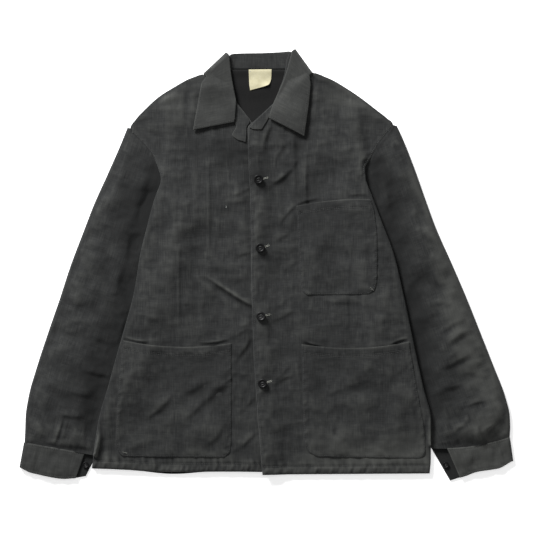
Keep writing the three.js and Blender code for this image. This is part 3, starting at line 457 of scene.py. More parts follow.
def settled(a, b, held, seed, growth):
    """The relief of cloth that has grown a little within the edges and lines that hold it, and so buckles."""
    relief, weight = np.zeros(GRID_X.shape), np.zeros(GRID_X.shape)
    run = run_along((a + b) / 2)
    stops = np.linspace(0, run[-1], int(run[-1] / SIM_SPACING))
    a, b = (np.stack([np.interp(stops, run, edge[:, k]) for k in (0, 1)], -1) for edge in (a, b))
    count = int(np.hypot(*(b - a).T).max() / SIM_SPACING)
    plan = a[:, None] + (b - a)[:, None] * np.linspace(0, 1, count)[:, None]
    x, y = plan[..., 0], plan[..., 1]
    start = SIM_START * sampled(noise(seed, 11, 11), x, y)
    points = np.stack((x, y, start), -1).reshape(-1, 3) / SIM_METRE
    mesh = bpy.data.meshes.new("settling")
    mesh.from_pydata(points.tolist(), [], grid_faces(0, *x.shape))
    cloth = added("settling", mesh)
    pinned = np.zeros(x.shape, bool)
    pinned[0] = pinned[-1] = pinned[:, 0] = pinned[:, -1] = True
    for line in held:
        pinned |= nearest(line, x, y)[0] < 0.6 * SIM_SPACING
    group = cloth.vertex_groups.new(name="held")
    group.add(np.nonzero(pinned.ravel())[0].tolist(), 1.0, "REPLACE")
    modifier = cloth.modifiers.new("cloth", "CLOTH")
    modifier.point_cache.frame_end = SIM_FRAMES
    settings = modifier.settings
    settings.vertex_group_mass = "held"
    settings.quality = 5
    settings.tension_stiffness = settings.compression_stiffness = SIM_STIFFNESS
    settings.bending_stiffness = SIM_BENDING
    settings.air_damping = SIM_DAMPING
    settings.shrink_min = settings.shrink_max = -growth
    settings.effector_weights.gravity = 0
    for frame_number in range(1, SIM_FRAMES + 1):
        bpy.context.scene.frame_set(frame_number)
    solved = cloth.evaluated_get(bpy.context.evaluated_depsgraph_get()).to_mesh()
    co = np.empty(len(solved.vertices) * 3, np.float32)
    solved.vertices.foreach_get("co", co)
    height = co.reshape(*x.shape, 3)[..., 2] * SIM_METRE
    bpy.data.objects.remove(cloth)
    bpy.context.scene.frame_set(1)
    # Spread from the simulation's own points to the level grid
    fine = np.linspace(0, 1, 6, endpoint=False)
    for u in fine:
        for v in fine:
            corners = [((1 - u) * (1 - v), 0, 0), (u * (1 - v), 1, 0), ((1 - u) * v, 0, 1), (u * v, 1, 1)]
            px, py, pz = (
                sum(share * field[i : i + x.shape[0] - 1, j : j + x.shape[1] - 1] for share, i, j in corners)
                for field in (x, y, height)
            )
            cells = tuple(np.rint((p - low[0]) / CELL).astype(int) for p, low in ((px, grid_x), (py, grid_y)))
            np.add.at(relief, cells, pz)
            np.add.at(weight, cells, 1)
    spread = blurred(weight, SIM_BLUR, SIM_BLUR)
    return np.where(spread > 0.02, blurred(relief, SIM_BLUR, SIM_BLUR) / np.maximum(spread, 0.02), 0)


def linear(hex_colour):
    """An sRGB colour, as six hex digits, in the linear values that shaders take."""
    values = [int(hex_colour[k : k + 2], 16) / 255 for k in (0, 2, 4)]
    return [v / 12.92 if v <= 0.04045 else ((v + 0.055) / 1.055) ** 2.4 for v in values] + [1]


def add_node(tree, kind, settings=None, **links):
    """A node with its settings and the values or sockets that feed its inputs, which are named with _ for a
    space, or numbered where a name is used twice."""
    node = tree.nodes.new(kind)
    for key, value in (settings or {}).items():
        setattr(node, key, value)
    for key, value in links.items():
        numbered = key[0] == "i" and key[1:].isdigit()
        socket = node.inputs[int(key[1:]) if numbered else key.replace("_", " ")]
        if isinstance(value, bpy.types.NodeSocket):
            tree.links.new(value, socket)
        else:
            socket.default_value = value
    return node


# How far full wear and painted light show the pale colour, and how far the deepest painted shade shows the
# dark one
WORN_AND_LIT_SHARE, DEEP_SHARE, DEEPEST = 0.4, 0.85, 1.4


def washed_cotton(name, dark, middle, light, worn_and_painted_light, painted_shade):
    """Plain-woven charcoal cotton, washed many times: matt, with thicker slubs in both directions, broad
    patches where the dye has faded, worn paler edges, crests paler partly from wear and partly as a painted
    highlight, and painted shade in hollows and wherever the attribute falls below 0."""
    material = bpy.data.materials.new(name)
    material.use_nodes = True
    tree = material.node_tree
    shader = tree.nodes["Principled BSDF"]
    cut = add_node(tree, "ShaderNodeUVMap", {"uv_map": "cut"}).outputs["UV"]
    # Slubs 1.2 mm across and 20 to 30 mm long, in the warp and more faintly in the weft
    slubs = []
    for scale in ((850, 36, 1), (48, 760, 1)):
        placed = add_node(tree, "ShaderNodeMapping", Vector=cut, Scale=scale)
        slubs.append(add_node(
            tree, "ShaderNodeTexNoise", Vector=placed.outputs["Vector"], Scale=1.0, Detail=1.5, Roughness=0.5
        ).outputs["Fac"])
    # The weave itself, a thread every 1.8 mm: coarser than the real 0.5 mm, which wouldn't show
    warp, weft = (
        add_node(
            tree, "ShaderNodeTexWave", {"bands_direction": way}, Vector=cut, Scale=175.0, Distortion=1.2,
            Detail=1.0
        ).outputs["Fac"]
        for way in ("X", "Y")
    )
    times, times_plus = {"operation": "MULTIPLY"}, {"operation": "MULTIPLY_ADD"}
    weave = add_node(tree, "ShaderNodeMath", times, i0=warp, i1=weft).outputs[0]
    thick = add_node(tree, "ShaderNodeMath", times_plus, i0=slubs[1], i1=0.6, i2=slubs[0]).outputs[0]
    # Faded patches of about 45 mm, and a mottle of about 8 mm
    faded = add_node(tree, "ShaderNodeTexNoise", Vector=cut, Scale=22.0, Detail=4.0, Roughness=0.6)
    mottle = add_node(tree, "ShaderNodeTexNoise", Vector=cut, Scale=130.0, Detail=3.0, Roughness=0.7)
    tone = add_node(tree, "ShaderNodeMath", times_plus, i0=faded.outputs["Fac"], i1=0.7, i2=thick).outputs[0]
    tone = add_node(tree, "ShaderNodeMath", times_plus, i0=mottle.outputs["Fac"], i1=0.6, i2=tone).outputs[0]
    shade = add_node(tree, "ShaderNodeMapRange", Value=tone, From_Min=1.12, From_Max=1.84)
    shades = add_node(tree, "ShaderNodeValToRGB", Fac=shade.outputs["Result"])
    ends = shades.color_ramp.elements
    ends[0].color, ends[1].color = linear(dark), linear(light)
    ends.new(0.5).color = linear(middle)
    wear_and_painted_light = add_node(tree, "ShaderNodeAttribute", {"attribute_name": "wear_and_painted_light"}).outputs["Fac"]
    colour = shades.outputs["Color"]
    for fullest, share, shown in ((1.0, WORN_AND_LIT_SHARE, worn_and_painted_light), (-DEEPEST, DEEP_SHARE, painted_shade)):
        part = add_node(tree, "ShaderNodeMapRange", Value=wear_and_painted_light, From_Min=0.0, From_Max=fullest, To_Max=share)
        colour = add_node(tree, "ShaderNodeMix", {"data_type": "RGBA"}, Factor=part.outputs["Result"],
                          i6=colour, i7=linear(shown)).outputs[2]
    tree.links.new(colour, shader.inputs["Base Color"])
    relief = add_node(tree, "ShaderNodeMath", times_plus, i0=weave, i1=0.35, i2=thick).outputs[0]
    bump = add_node(tree, "ShaderNodeBump", Strength=0.32, Distance=0.0004, Height=relief)
    tree.links.new(bump.outputs["Normal"], shader.inputs["Normal"])
    shader.inputs["Roughness"].default_value = 0.9
    shader.inputs["Specular IOR Level"].default_value = 0.25
    shader.inputs["Sheen Weight"].default_value = 0.08
    shader.inputs["Sheen Roughness"].default_value = 0.5
    return material


charcoal_cotton = washed_cotton("charcoal_cotton", "161717", "232424", "313230", "585955", "0a0b0b")
# The inside of the cloth has faded less, and it is painted darker still as painted shade, where the back lies
# under the collar and the fronts
shaded_inside_cotton = washed_cotton("shaded_inside_cotton", "040505", "080808", "0c0c0b", "151614", "030303")


# A crest 2 mm above its near surroundings, or 26 mm above its far ones, is fully pale, partly from wear and
# partly as a painted highlight
CREST_NEAR, CREST_FAR = 2, 26


def crest_wear_and_hollow_shade(top, inset, x, y):
    """How much paler the cloth is drawn on crests, above 0, partly from wear and partly as a painted
    highlight, and how much darker in hollows, below 0, as painted shade.
    """
    inside = inset > 0
    top = np.where(inside, top, levelled(top, inside, 6))
    near, far = blurred(top, 5, 5), blurred(top, 16, 16)
    return np.clip(sampled((top - near) / CREST_NEAR + (near - far) / CREST_FAR, x, y), -1, 1)


# How far a patch's edge wanders
PATCH_WANDER = 9


def painted_patches(places):
    """Broad soft patches of painted light and shade: middle, half width, half height, and how pale, or below
    0 how dark, each is.
    """
    x = GRID_X + PATCH_WANDER * noise(201, 26, 26)
    y = GRID_Y + PATCH_WANDER * noise(202, 26, 26)
    return sum(
        share * np.exp(-(((x - cx) / wide) ** 2) - ((y - cy) / high) ** 2)
        for cx, cy, wide, high, share in places
    )


def edges_worn(distance, share):
    """Wear along an edge, as a field, from the distance to it."""
    return share * np.exp(-((np.maximum(distance, 0) / 1.7) ** 2))


# Points across a panel's underside
PANEL_UNDER = 9


def pillow(name, a, b, levels_along, rim, wall, spacing, top, below, inset, bend, extra_tone, material):
    """A panel between two edges: a fine top whose rims roll under, and a plain underside."""
    widths = np.hypot(*(b - a).T)
    shares, levels_across = rolled_shares(widths, rim, spacing)
    level = np.minimum(levels_along[:, None], levels_across[None, :])
    plan = bend(a[:, None] + (b - a)[:, None] * shares[..., None], shares)
    x, y = plan[..., 0], plan[..., 1]
    upper = sampled(top, x, y) - rim * (1 - level)
    under_steps = (np.arange(PANEL_UNDER) + 0.5) / PANEL_UNDER
    under_shares = 1 - (rim + (widths[:, None] - 2 * rim) * under_steps) / widths[:, None]
    under_plan = bend(a[:, None] + (b - a)[:, None] * under_shares[..., None], under_shares)
    ux, uy = under_plan[..., 0], under_plan[..., 1]
    thick = 2 * rim + 0.1 + (wall - 2 * rim) * ramp(sampled(inset, ux, uy), 1, 14)
    lower = np.maximum(sampled(top, ux, uy) - thick, sampled(below, ux, uy) + 0.1)
    lower = np.minimum(lower, sampled(top, ux, uy) - 2 * rim)
    faces_up, faces_down = np.dstack((plan, upper)), np.dstack((under_plan, lower))
    points = np.concatenate((faces_up, faces_down), 1)
    rows, columns = points.shape[:2]
    fine = plan.shape[1]
    faces = grid_faces(0, rows, columns, wrap=True)
    for row in (0, rows - 1):
        first = row * columns
        faces += zipped(range(first, first + fine), range(first + columns - 1, first + fine - 1, -1))
    wear_and_painted_light = np.zeros((rows, columns))
    # Crest wear and painted highlight, painted shade in hollows, and the panel's own wear and painted light
    # and shade
    wear_and_painted_light[:, :fine] = crest_wear_and_hollow_shade(top, inset, x, y) + sampled(extra_tone, x, y)
    flat = points.reshape(-1, 3)
    return cloth_mesh(name, flat, faces, flat[:, :2].copy(), wear_and_painted_light.ravel(), material)


# How far the head is tucked in under the body, the rims' radius, the wall, how far the edges roll down and
# over what breadth, the share of the crumples and the growth that makes them, the share of the folds, the
# fullness away from the body, and how far the cloth is drawn up at the armhole
SLEEVE_TUCK = 3.0
SLEEVE_RIM, SLEEVE_END_RIM = 4.0, 0.6
SLEEVE_WALL = 3.7
SLEEVE_CROWN = 4.2
SLEEVE_CROWN_REACH = 26
SLEEVE_CRUMPLE = 0.5
SLEEVE_GROWTH = 0.016
SLEEVE_FOLD_GAIN = 1.25
SLEEVE_LOFT = 4.0
ARMHOLE_LIFT = 0.9
# Soft swells over a sleeve: height, and breadth across and along it
SLEEVE_SWELLS = ((0.7, 16, 22), (0.4, 9, 6), (0.2, 4, 3))
# Spacing of the points on the outside, the count across the underside, and outer rows to one inside
SPACING = 2.0
UNDER_COUNT = 12
INNER_STEP = 16
# Painted shade on the sleeve beside the body and along the armhole seam, and painted light towards its outer
# edge
SLEEVE_SHADE = 1.25
SEAM_SHADE = 0.8
SLEEVE_PAINTED_LIGHT = {"right": 0.0, "left": 0.6}
# Patches of painted light and shade on the sleeves
SLEEVE_PAINTED_PATCHES = (
    (-206, 158, 26, 30, -0.7),
    (-238, 70, 22, 70, -0.5),
    (-330, -205, 60, 50, -0.5),
    (214, 170, 18, 40, -0.8),
    (216, 100, 22, 50, -0.4),
    (330, -290, 30, 30, 0.2),
    (362, -238, 36, 40, -0.5),
    (285, -245, 18, 60, 0.45),
    (-330, -300, 60, 24, 0.25),
)


def make_sleeve(side):
    global laid
    rows, x, y, outward, seed = {
        "right": (SLEEVE_RIGHT, "rx", "ry", -1, 11), "left": (SLEEVE_LEFT, "lx", "ly", 1, 21)
    }[side]
    last = len(rows["ox"]) - 1
    t = stations(rows, ("ox", "oy", "ix", "iy"), SLEEVE_END_RIM, SPACING)[0]
    t[0], t[-1] = 0, last
    a, b = edge_at(rows, "ox", "oy", t), edge_at(rows, "ix", "iy", t)
    hole = edge_at(BODY, x, y, np.arange(SHOULDER_TIP_ROW, UNDERARM_ROW - 0.01, -0.25))
    hole = np.vstack((a[:1], hole - (SLEEVE_TUCK * outward, 0), b[:1]))

    def plan_at(shares):
        bend = point_on(hole, shares) - (a[0] + (b[0] - a[0]) * shares[..., None])
        plan = a[:, None] + (b - a)[:, None] * shares[..., None]
        plan = plan + bend * (np.maximum(0, 1 - t / ARMHOLE_REACH) ** 2)[:, None, None]
        bow = CUFF_SEAM_BOW[side] * ramp(t, last - 1.5, last)
        plan[..., 1] -= 4 * shares * (1 - shares) * bow[:, None]
        return plan

    ends = plan_at(np.linspace(0, 1, 40) + 0 * t[:, None])
    outline = np.vstack((ends[:, 0], ends[-1], ends[::-1, -1], ends[0, ::-1]))
    inside, inset = outline_fields(outline[::3])
    top = solid_top("sleeve_" + side, inside, inset, 9)
    middle = np.array(((a[0] + b[0]) / 2, (a[-1] + b[-1]) / 2))
    lean = math.atan2(*(middle[0] - middle[1]))
    turned_x = GRID_X * math.cos(lean) - GRID_Y * math.sin(lean)
    turned_y = GRID_X * math.sin(lean) + GRID_Y * math.cos(lean)
    soft = sum(
        height * sampled(noise(seed + k, across, along), turned_x, turned_y, wrap=True)
        for k, (height, across, along) in enumerate(SLEEVE_SWELLS)
    )
    body = edge_at(BODY, x, y, np.arange(0, SHOULDER_TIP_ROW + 0.1, 0.5))
    far, _, on_left = nearest(body, GRID_X, GRID_Y)
    beyond = np.where(on_left * -outward > 0, far, -far)
    shown = ramp(beyond, -1, 6)
    soft += SLEEVE_CRUMPLE * settled(a, b, [body], seed + 8, SLEEVE_GROWTH)
    top = top + (soft + SLEEVE_FOLD_GAIN * fold_relief(SLEEVE_FOLDS[side])) * shown * ramp(inset, 1, 14)
    top -= SLEEVE_CROWN * (1 - round_edge(inset, SLEEVE_CROWN_REACH)) * shown
    # It is fuller than the solid away from the body, and is drawn up to the front's level at the armhole
    far_hole = nearest(hole, GRID_X, GRID_Y)[0]
    top += SLEEVE_LOFT * ramp(beyond, 4, 46) * ramp(inset, 4, 34)
    top += ARMHOLE_LIFT * ramp(beyond, -0.5, 1.8) * (1 - ramp(far_hole, 2, 30))
    # Painted shade beside the body and along the armhole seam, painted light towards the outer edge, and
    # patches of painted light and shade
    shade = (1 - ramp(beyond, 5, 88)) * (1 - ramp(GRID_Y, 150, 215)) * ramp(GRID_Y, -360, -190)
    shade *= 1 + 0.15 * noise(seed + 9, 9, 16)
    tone = painted_patches(SLEEVE_PAINTED_PATCHES) - SLEEVE_SHADE * shade + SLEEVE_PAINTED_LIGHT[side] * ramp(beyond, 25, 85)
    tone -= SEAM_SHADE * np.exp(-((far_hole / 2) ** 2))
    top += seam_relief(hole, seed + 5, 0.5, 0.25, wave=8, reach=6)
    top += seam_relief(ends[-1], seed + 6, 0.5, 0.45, wave=13, reach=13)
    top = np.maximum(top, 2 * SLEEVE_RIM + 0.2)
    widths = np.hypot(*(b - a).T)
    shares, levels = rolled_shares(widths, SLEEVE_RIM, SPACING)
    plan = plan_at(shares)
    upper = sampled(top, plan[..., 0], plan[..., 1]) - SLEEVE_RIM * (1 - levels)
    under_steps = (np.arange(UNDER_COUNT) + 0.5) / UNDER_COUNT
    from_edge = 0.6 * SLEEVE_RIM + (widths[:, None] - 1.2 * SLEEVE_RIM) * under_steps
    under = plan_at(1 - from_edge / widths[:, None])
    ring = np.concatenate((np.dstack((plan, upper)), np.dstack((under, 0 * under[..., 0] + 0.1))), 1)
    # The tube's inner face, a wall in from the outer one, with fewer rows
    centre = (a + b)[:, None] / 2
    kept = np.unique(np.concatenate((np.arange(0, len(t), INNER_STEP), [len(t) - 1])))
    inner = ring[kept].copy()
    inward = 1 - 2 * (SLEEVE_WALL + 0.5) / widths[kept, None, None]
    inner[..., :2] = centre[kept] + (inner[..., :2] - centre[kept]) * inward
    inner_top = np.maximum(inner[..., 2] - SLEEVE_WALL, SLEEVE_WALL + 0.3)
    inner[..., 2] = np.where(np.arange(ring.shape[1]) < plan.shape[1], inner_top, SLEEVE_WALL)
    rows_out, around = ring.shape[:2]
    first = rows_out * around
    faces = grid_faces(0, rows_out, around, wrap=True) + grid_faces(first, len(kept), around, wrap=True)
    for row, inner_row in ((0, 0), (rows_out - 1, len(kept) - 1)):
        for k in range(around):
            n = (k + 1) % around
            faces.append((row * around + k, row * around + n, first + inner_row * around + n,
                          first + inner_row * around + k))
    points = np.concatenate((ring.reshape(-1, 3), inner.reshape(-1, 3)))
    cut = np.stack((points[:, 0] * math.cos(lean) - points[:, 1] * math.sin(lean),
                    points[:, 0] * math.sin(lean) + points[:, 1] * math.cos(lean)), -1)
    # Crest wear and painted highlight, painted shade in hollows, and the painted light and shade above
    worn_and_painted_light = crest_wear_and_hollow_shade(top, inset, plan[..., 0], plan[..., 1]) + sampled(tone, plan[..., 0], plan[..., 1])
    wear_and_painted_light = np.zeros(ring.shape[:2])
    wear_and_painted_light[:, : plan.shape[1]] = np.clip(worn_and_painted_light, -DEEPEST, 1)
    wear_and_painted_light = np.concatenate((wear_and_painted_light.ravel(), np.zeros(inner.shape[0] * inner.shape[1])))
    piece = cloth_mesh("cloth_sleeve_" + side, points, faces, cut, wear_and_painted_light, charcoal_cotton)
    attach(piece, "root")
    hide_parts("sleeve_" + side)
    # Above the underarm the seam's allowance is pressed flat, so that the front doesn't ride up over it
    up_hole = np.hypot(GRID_X - BODY[x][UNDERARM_ROW], GRID_Y - BODY[y][UNDERARM_ROW])
    pressed = ramp(up_hole, 4, 50) * ((beyond < 1) & (GRID_Y > BODY[y][UNDERARM_ROW]))
    laid = np.where(inside, np.maximum(laid, top - 2 * SLEEVE_RIM * pressed), laid)


make_sleeve("right")
make_sleeve("left")

# Back: one padded panel of the same cotton, flat where it rests and raised over the sleeves. It shows inside
# the neck, past the shoulder seams and in a narrow strip below the front hem. Its edges are turned in and
# felled.

BACK_NECK = table("rx ry lx ly", (-90, 333.5, 66, 334), (-80, 340, 60, 340))
BACK_ROWS = {k: np.concatenate((BODY[k], BACK_NECK[k])) for k in ("rx", "ry", "lx", "ly")}
# How far up a hem's sag reaches. A sag has its depth, its middle along X and its half width.
HEM_REACH = 70
BACK_HEM_SAG = (8, -165, 62)
BODY_RIM = 1.7
BACK_WALL = 4.0
BACK_SPACING = 3.2
BACK_SWELL = 0.35
BACK_STITCH = 12
# The back's neck edge rises to the seam with the collar's stand
NECK_RISE = 2.6


def sagging(points, sag):
    """Lets a hem sag between the side seams."""
    depth, middle, half = sag
    reach = 1 - ramp(points[..., 1] - BODY["ry"][0], 0, HEM_REACH)
    points = points.copy()
    points[..., 1] -= depth * reach * np.exp(-(((points[..., 0] - middle) / half) ** 2))
    return points


class Panel:
    """A body panel between two edges of the body table: its rows, its outline and how far in each cell is."""

    def __init__(self, rows, edge_a, edge_b, sag, rim, spacing):
        self.t, self.levels = stations(rows, (*edge_a, *edge_b), rim, spacing)
        ta = np.clip(self.t, 0, len(rows[edge_a[0]]) - 1)
        self.a, self.b = edge_at(rows, *edge_a, ta), edge_at(rows, *edge_b, ta)
        self.sag, self.rim, self.spacing = sag, rim, spacing
        across = np.linspace(0, 1, 60)[:, None]
        hem = sagging(self.a[0] + (self.b[0] - self.a[0]) * across, sag)
        top = self.a[-1] + (self.b[-1] - self.a[-1]) * across
        self.outline = np.vstack((self.a[::4], top[::4], self.b[::-4], hem[::-1]))
        self.inside, self.inset = outline_fields(self.outline)

    def bend(self, plan, shares):
        """Moves its points down where its hem sags."""
        return sagging(plan, self.sag)

    def build(self, name, wall, top, below, wear_and_painted_light, material):
        """The panel's mesh, with wear and painted light and shade of its own on top of what its crests and
        hollows give.
        """
        piece = pillow(name, self.a, self.b, self.levels, self.rim, wall, self.spacing, top, below,
                       self.inset, self.bend, wear_and_painted_light, material)
        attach(piece, "root")
        return piece


back = Panel(BACK_ROWS, ("rx", "ry"), ("lx", "ly"), BACK_HEM_SAG, BODY_RIM, BACK_SPACING)
back_top = solid_top("back", back.inside, back.inset, 8)
back_top += BACK_SWELL * noise(31, 12, 9) * ramp(back.inset, 2, 20) * ramp(GRID_Y, 180, 230)
back_hem = sagging(np.stack((np.linspace(-300, 284, 80), np.linspace(-350, -357, 80)), -1), BACK_HEM_SAG)
back_top += seam_relief(back_hem + (0, BACK_STITCH), 33, 0.4, 0.35)
back_top += NECK_RISE * ramp(GRID_Y, 322, 340)
back_top = resting(back_top, back.inside, BACK_WALL)
# The back shows its inside face, in the darker cotton of painted shade
back_piece = back.build("cloth_back", BACK_WALL, back_top, laid, 0 * GRID_X, shaded_inside_cotton)
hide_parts("back")
laid = np.where(back.inside, np.maximum(laid, back_top), laid)

# Fronts: two padded panels of the same cotton, cut to the shoulder and the neck. The left one buttons over
# the right one. Each has a double-turned hem, stitched 14 mm above its edge, which has shrunk and puckers.

FRONT_WALL = 5.0
FRONT_HEM_SAG = (3, -170, 90)
HEM_STITCH = 14
ARMHOLE_STITCH = 3.2
EDGE_STITCH = 3.4
PLACKET_TOP_ROW = 13.2
# Soft swells over a front: height, and breadth along X and along Y
FRONT_SWELLS = ((0.5, 20, 26), (0.24, 9, 7), (0.16, 4, 3.4), (0.2, 3.2, 16), (0.18, 14, 3))
# How far its edges are pressed down, the crumples' share and growth, and how far it drops to the armhole seam
FRONT_PRESS = 1.5
FRONT_CRUMPLE = 0.4
FRONT_GROWTH = 0.012
ARMHOLE_DROP = 1.4
FRONT_EDGE_WEAR = 0.35
FRONT_SEAM_SHADE = 0.6
# Patches of painted light and shade on the fronts and their pockets, among them painted shadow below the
# collar
FRONT_PAINTED_PATCHES = (
    (190, -330, 100, 36, 0.75),
    (95, -350, 60, 16, 0.3),
    (-150, -355, 160, 13, 0.5),
    (-288, -342, 24, 26, 0.4),
    (268, -320, 26, 40, 0.3),
    (-39, 208, 10, 10, -1.0),
    (-14, 164, 26, 13, -1.1),
    (53, 196, 9, 34, -0.8),
    (46, 150, 8, 30, -0.5),
    (-80, 216, 34, 24, -1.0),
    (-28, 172, 22, 26, -0.7),
    (-150, 287, 42, 26, 0.3),
    (130, 290, 48, 30, 0.55),
    (-112, -222, 42, 34, -0.6),
    (78, 96, 20, 56, -0.6),
    (95, -165, 34, 55, -0.4),
    (-60, -165, 30, 50, -0.4),
    (-196, 20, 30, 60, 0.15),
    (226, -70, 30, 50, 0.15),
)
FRONT_FOLDS = {
    "right": (
        (-177, 272, -206, 158, 3, 14, -2.6),
        (-205, 235, -200, 195, 3, 8, -1.2),
        (-98, 200, -97, -10, 2, 4, -1.3),
        (-147, 40, -147, -130, -2, 3.0, -0.9),
        (-122, 222, -116, 100, 4, 8, -1.2),
        (-114, -12, -14, -78, -3, 5, 2.2),
        (-109, -22, -12, -85, -2, 3.5, -2.2),
        (-150, 14, -70, -62, -6, 8, 1.4),
        (-62, 150, -34, 40, 5, 9, 1),
        (-70, 215, -40, 150, 5, 7, 1.2),
        (-28, -124, -60, -170, 3, 4.5, 1.5),
        (-26, -100, -70, -128, 3, 5, 1),
        (-24, 140, -64, 122, 3, 4, 1),
        (-24, 22, -60, 10, -3, 4, 1),
        (-24, -96, -52, -106, 3, 4, 0.8),
        (-216, -20, -150, -60, 5, 8, 1),
        (-200, 40, -130, 26, -5, 8, 0.8),
        (-232, -84, -180, -100, 4, 6, 0.8),
        (-216, -268, -58, -179, 4, 7, 2.2),
        (-138, -268, -44, -184, -5, 6, -1.9),
        (-46, -320, -16, -290, 2, 4.5, 1.5),
        (-48, -255, -20, -225, -2, 5, 1),
        (-56, -300, -36, -200, 3, 6, 0.8),
        (-180, 130, -150, 60, 5, 8, 1),
        (-100, 260, -84, 205, -3, 7, 1.4),
        (-203, -139, -257, -127, 2, 3, -4),
        (-62, -133, -118, -140, 2, 2.6, -2.4),
    ),
    "left": (
        (164, 272, 198, 168, -3, 13, -2.6),
        (190, 240, 186, 205, -3, 8, -1.2),
        (-1, 196, 14, 244, 2, 5, -2),
        (12, 178, 34, 214, 3, 6, 1.7),
        (-6, 192, 40, 200, 5, 7, -1.5),
        (4, 140, 42, 168, -3, 4, 1.3),
        (2, 134, 60, 200, -8, 5, 1.4),
        (50, 236, 52, 96, 3, 4, -1.4),
        (74, 205, 78, 4, -2, 4, -1.2),
        (79, 106, 80, -40, 2, 3, 0.8),
        (22, 70, 52, 106, 3, 4, 1.5),
        (10, 44, 44, 64, -3, 5, 1.2),
        (6, 24, 40, 18, 3, 4, 1),
        (6, -96, 44, -78, -3, 4.5, 1.2),
        (8, -84, 50, -50, 4, 5, 0.8),
        (8, -212, 50, -190, 4, 5, 1.4),
        (10, -202, 42, -170, -3, 4, 0.8),
        (86, -57, 174, -62, -5, 5, 1.4),
        (139, -62, 139, -122, 2, 3, 1),
        (196, -80, 198, -120, 2, 3.5, 0.8),
        (205, -20, 220, -90, -4, 7, 1),
        (30, -130, 60, -230, 5, 8, 0.8),
        (0, -250, 40, -300, -5, 8, 1),
        (150, 220, 190, 140, 5, 8, 1),
        (100, 190, 150, 170, 5, 8, 0.8),
        (20, -20, 56, 10, 3, 6, 0.8),
        (64, -136, 98, -145, -2, 2.6, -3),
        (216, -142, 249, -132, 2, 2.6, -2.6),
        (53, 102, 96, 112, 2, 2.6, -2),
        (140, 116, 180, 117, 2, 3, -1.2),
    ),
}


def stitch_path(line, offset):
    """A line moved to its left by so many millimetres."""
    away = np.gradient(line, axis=0)
    away /= np.hypot(*away.T)[:, None]
    return line + offset * np.stack((-away[:, 1], away[:, 0]), -1)


# Pieces and the lines sewn on them
sewing = []


# The patch pockets' edges, at smaller X and at larger X, a row for each height from the lower edge to the
# mouth. They hold the fronts flat, so they are given here.
CHEST_ROWS = table(
    "ax ay bx by",
    (72, -54, 176, -52.5),
    (63, -47, 186, -47),
    (60, -36, 192, -28),
    (56, 30, 193, 35),
    (53, 85, 187, 95),
    (52, 102, 180, 113.5),
)
HIP_RIGHT_ROWS = table(
    "ax ay bx by",
    (-249, -336, -74, -337),
    (-259, -326, -64, -328),
    (-263, -306, -61, -307),
    (-258, -220, -61, -222),
    (-252, -157, -61, -160),
    (-249, -132, -61, -137),
)
HIP_LEFT_ROWS = table(
    "ax ay bx by",
    (92, -336, 266, -339),
    (75, -328, 276, -332),
    (65, -306, 277, -304),
    (63, -220, 262, -215),
    (61.5, -160, 252, -157),
    (61, -139, 248, -134),
)


def sides_of(rows):
    t = np.linspace(0, len(rows["ax"]) - 1, 30)
    a, b = edge_at(rows, "ax", "ay", t), edge_at(rows, "bx", "by", t)
    return np.vstack((a[::-1], b))


pocket_sides = {"right": [sides_of(HIP_RIGHT_ROWS)], "left": [sides_of(HIP_LEFT_ROWS), sides_of(CHEST_ROWS)]}


def swells(sizes, seed):
    """Soft swells of several sizes, one on another."""
    return sum(height * noise(seed + k, across, along) for k, (height, across, along) in enumerate(sizes))


def make_front(side, edge_a, edge_b, seed):
    global laid
    panel = Panel(BODY, edge_a, edge_b, FRONT_HEM_SAG, BODY_RIM, SPACING)
    top = solid_top("front_" + side, panel.inside, panel.inset, 8)
    soft = swells(FRONT_SWELLS, seed)
    soft += FRONT_CRUMPLE * settled(panel.a, panel.b, pocket_sides[side], seed + 9, FRONT_GROWTH)
    top += (soft + fold_relief(FRONT_FOLDS[side])) * ramp(panel.inset, 0, 12)
    top -= FRONT_PRESS * (1 - round_edge(panel.inset, 11))
    across = np.linspace(0.012, 0.988, 90)[:, None]
    hem = sagging(panel.a[0] + (panel.b[0] - panel.a[0]) * across, FRONT_HEM_SAG) + (0, HEM_STITCH)
    sides = {"right": (panel.a, panel.b), "left": (panel.b, panel.a)}[side]
    outer, centre = (edge[panel.levels == 1] for edge in sides)
    turn = {"right": -1, "left": 1}[side]
    row = panel.t[panel.levels == 1]
    armhole = outer[(row > UNDERARM_ROW) & (row < SHOULDER_TIP_ROW)]
    placket = centre[(row > 0) & (row < PLACKET_TOP_ROW)]
    top -= ARMHOLE_DROP * (1 - ramp(nearest(armhole, GRID_X, GRID_Y)[0], 0, 30))
    top += seam_relief(hem, seed + 5, 0.9, 0.5, wave=7, reach=8, lean=0.3)
    top += seam_relief(hem - (0, HEM_STITCH - 4), seed + 6, 0, 0.45, wave=6, reach=7, lean=-0.3)
    armhole_stitch = stitch_path(armhole, ARMHOLE_STITCH * turn)
    top += seam_relief(armhole_stitch, seed + 7, 0.6, 0.4)
    lines = [hem, armhole_stitch]
    if side == "left":
        lines.append(stitch_path(placket, -EDGE_STITCH))
        top += seam_relief(lines[-1], seed + 8, 0.4, 0.3, wave=11)
    top = resting(top, panel.inside, 2 * BODY_RIM + 0.5)
    # Worn edges, patches of painted light and shade, and painted shade along the side and armhole seams
    wear_and_painted_light = edges_worn(panel.inset, FRONT_EDGE_WEAR) + painted_patches(FRONT_PAINTED_PATCHES)
    wear_and_painted_light -= FRONT_SEAM_SHADE * (1 - ramp(nearest(outer, GRID_X, GRID_Y)[0], 0, 3))
    piece = panel.build("cloth_front_" + side, FRONT_WALL, top, laid, wear_and_painted_light, charcoal_cotton)
    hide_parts("front_" + side)
    sewing.append((piece, lines))
    laid = np.where(panel.inside, np.maximum(laid, top), laid)
    return piece


front_right_piece = make_front("right", ("rx", "ry"), ("cx", "cy"), 41)

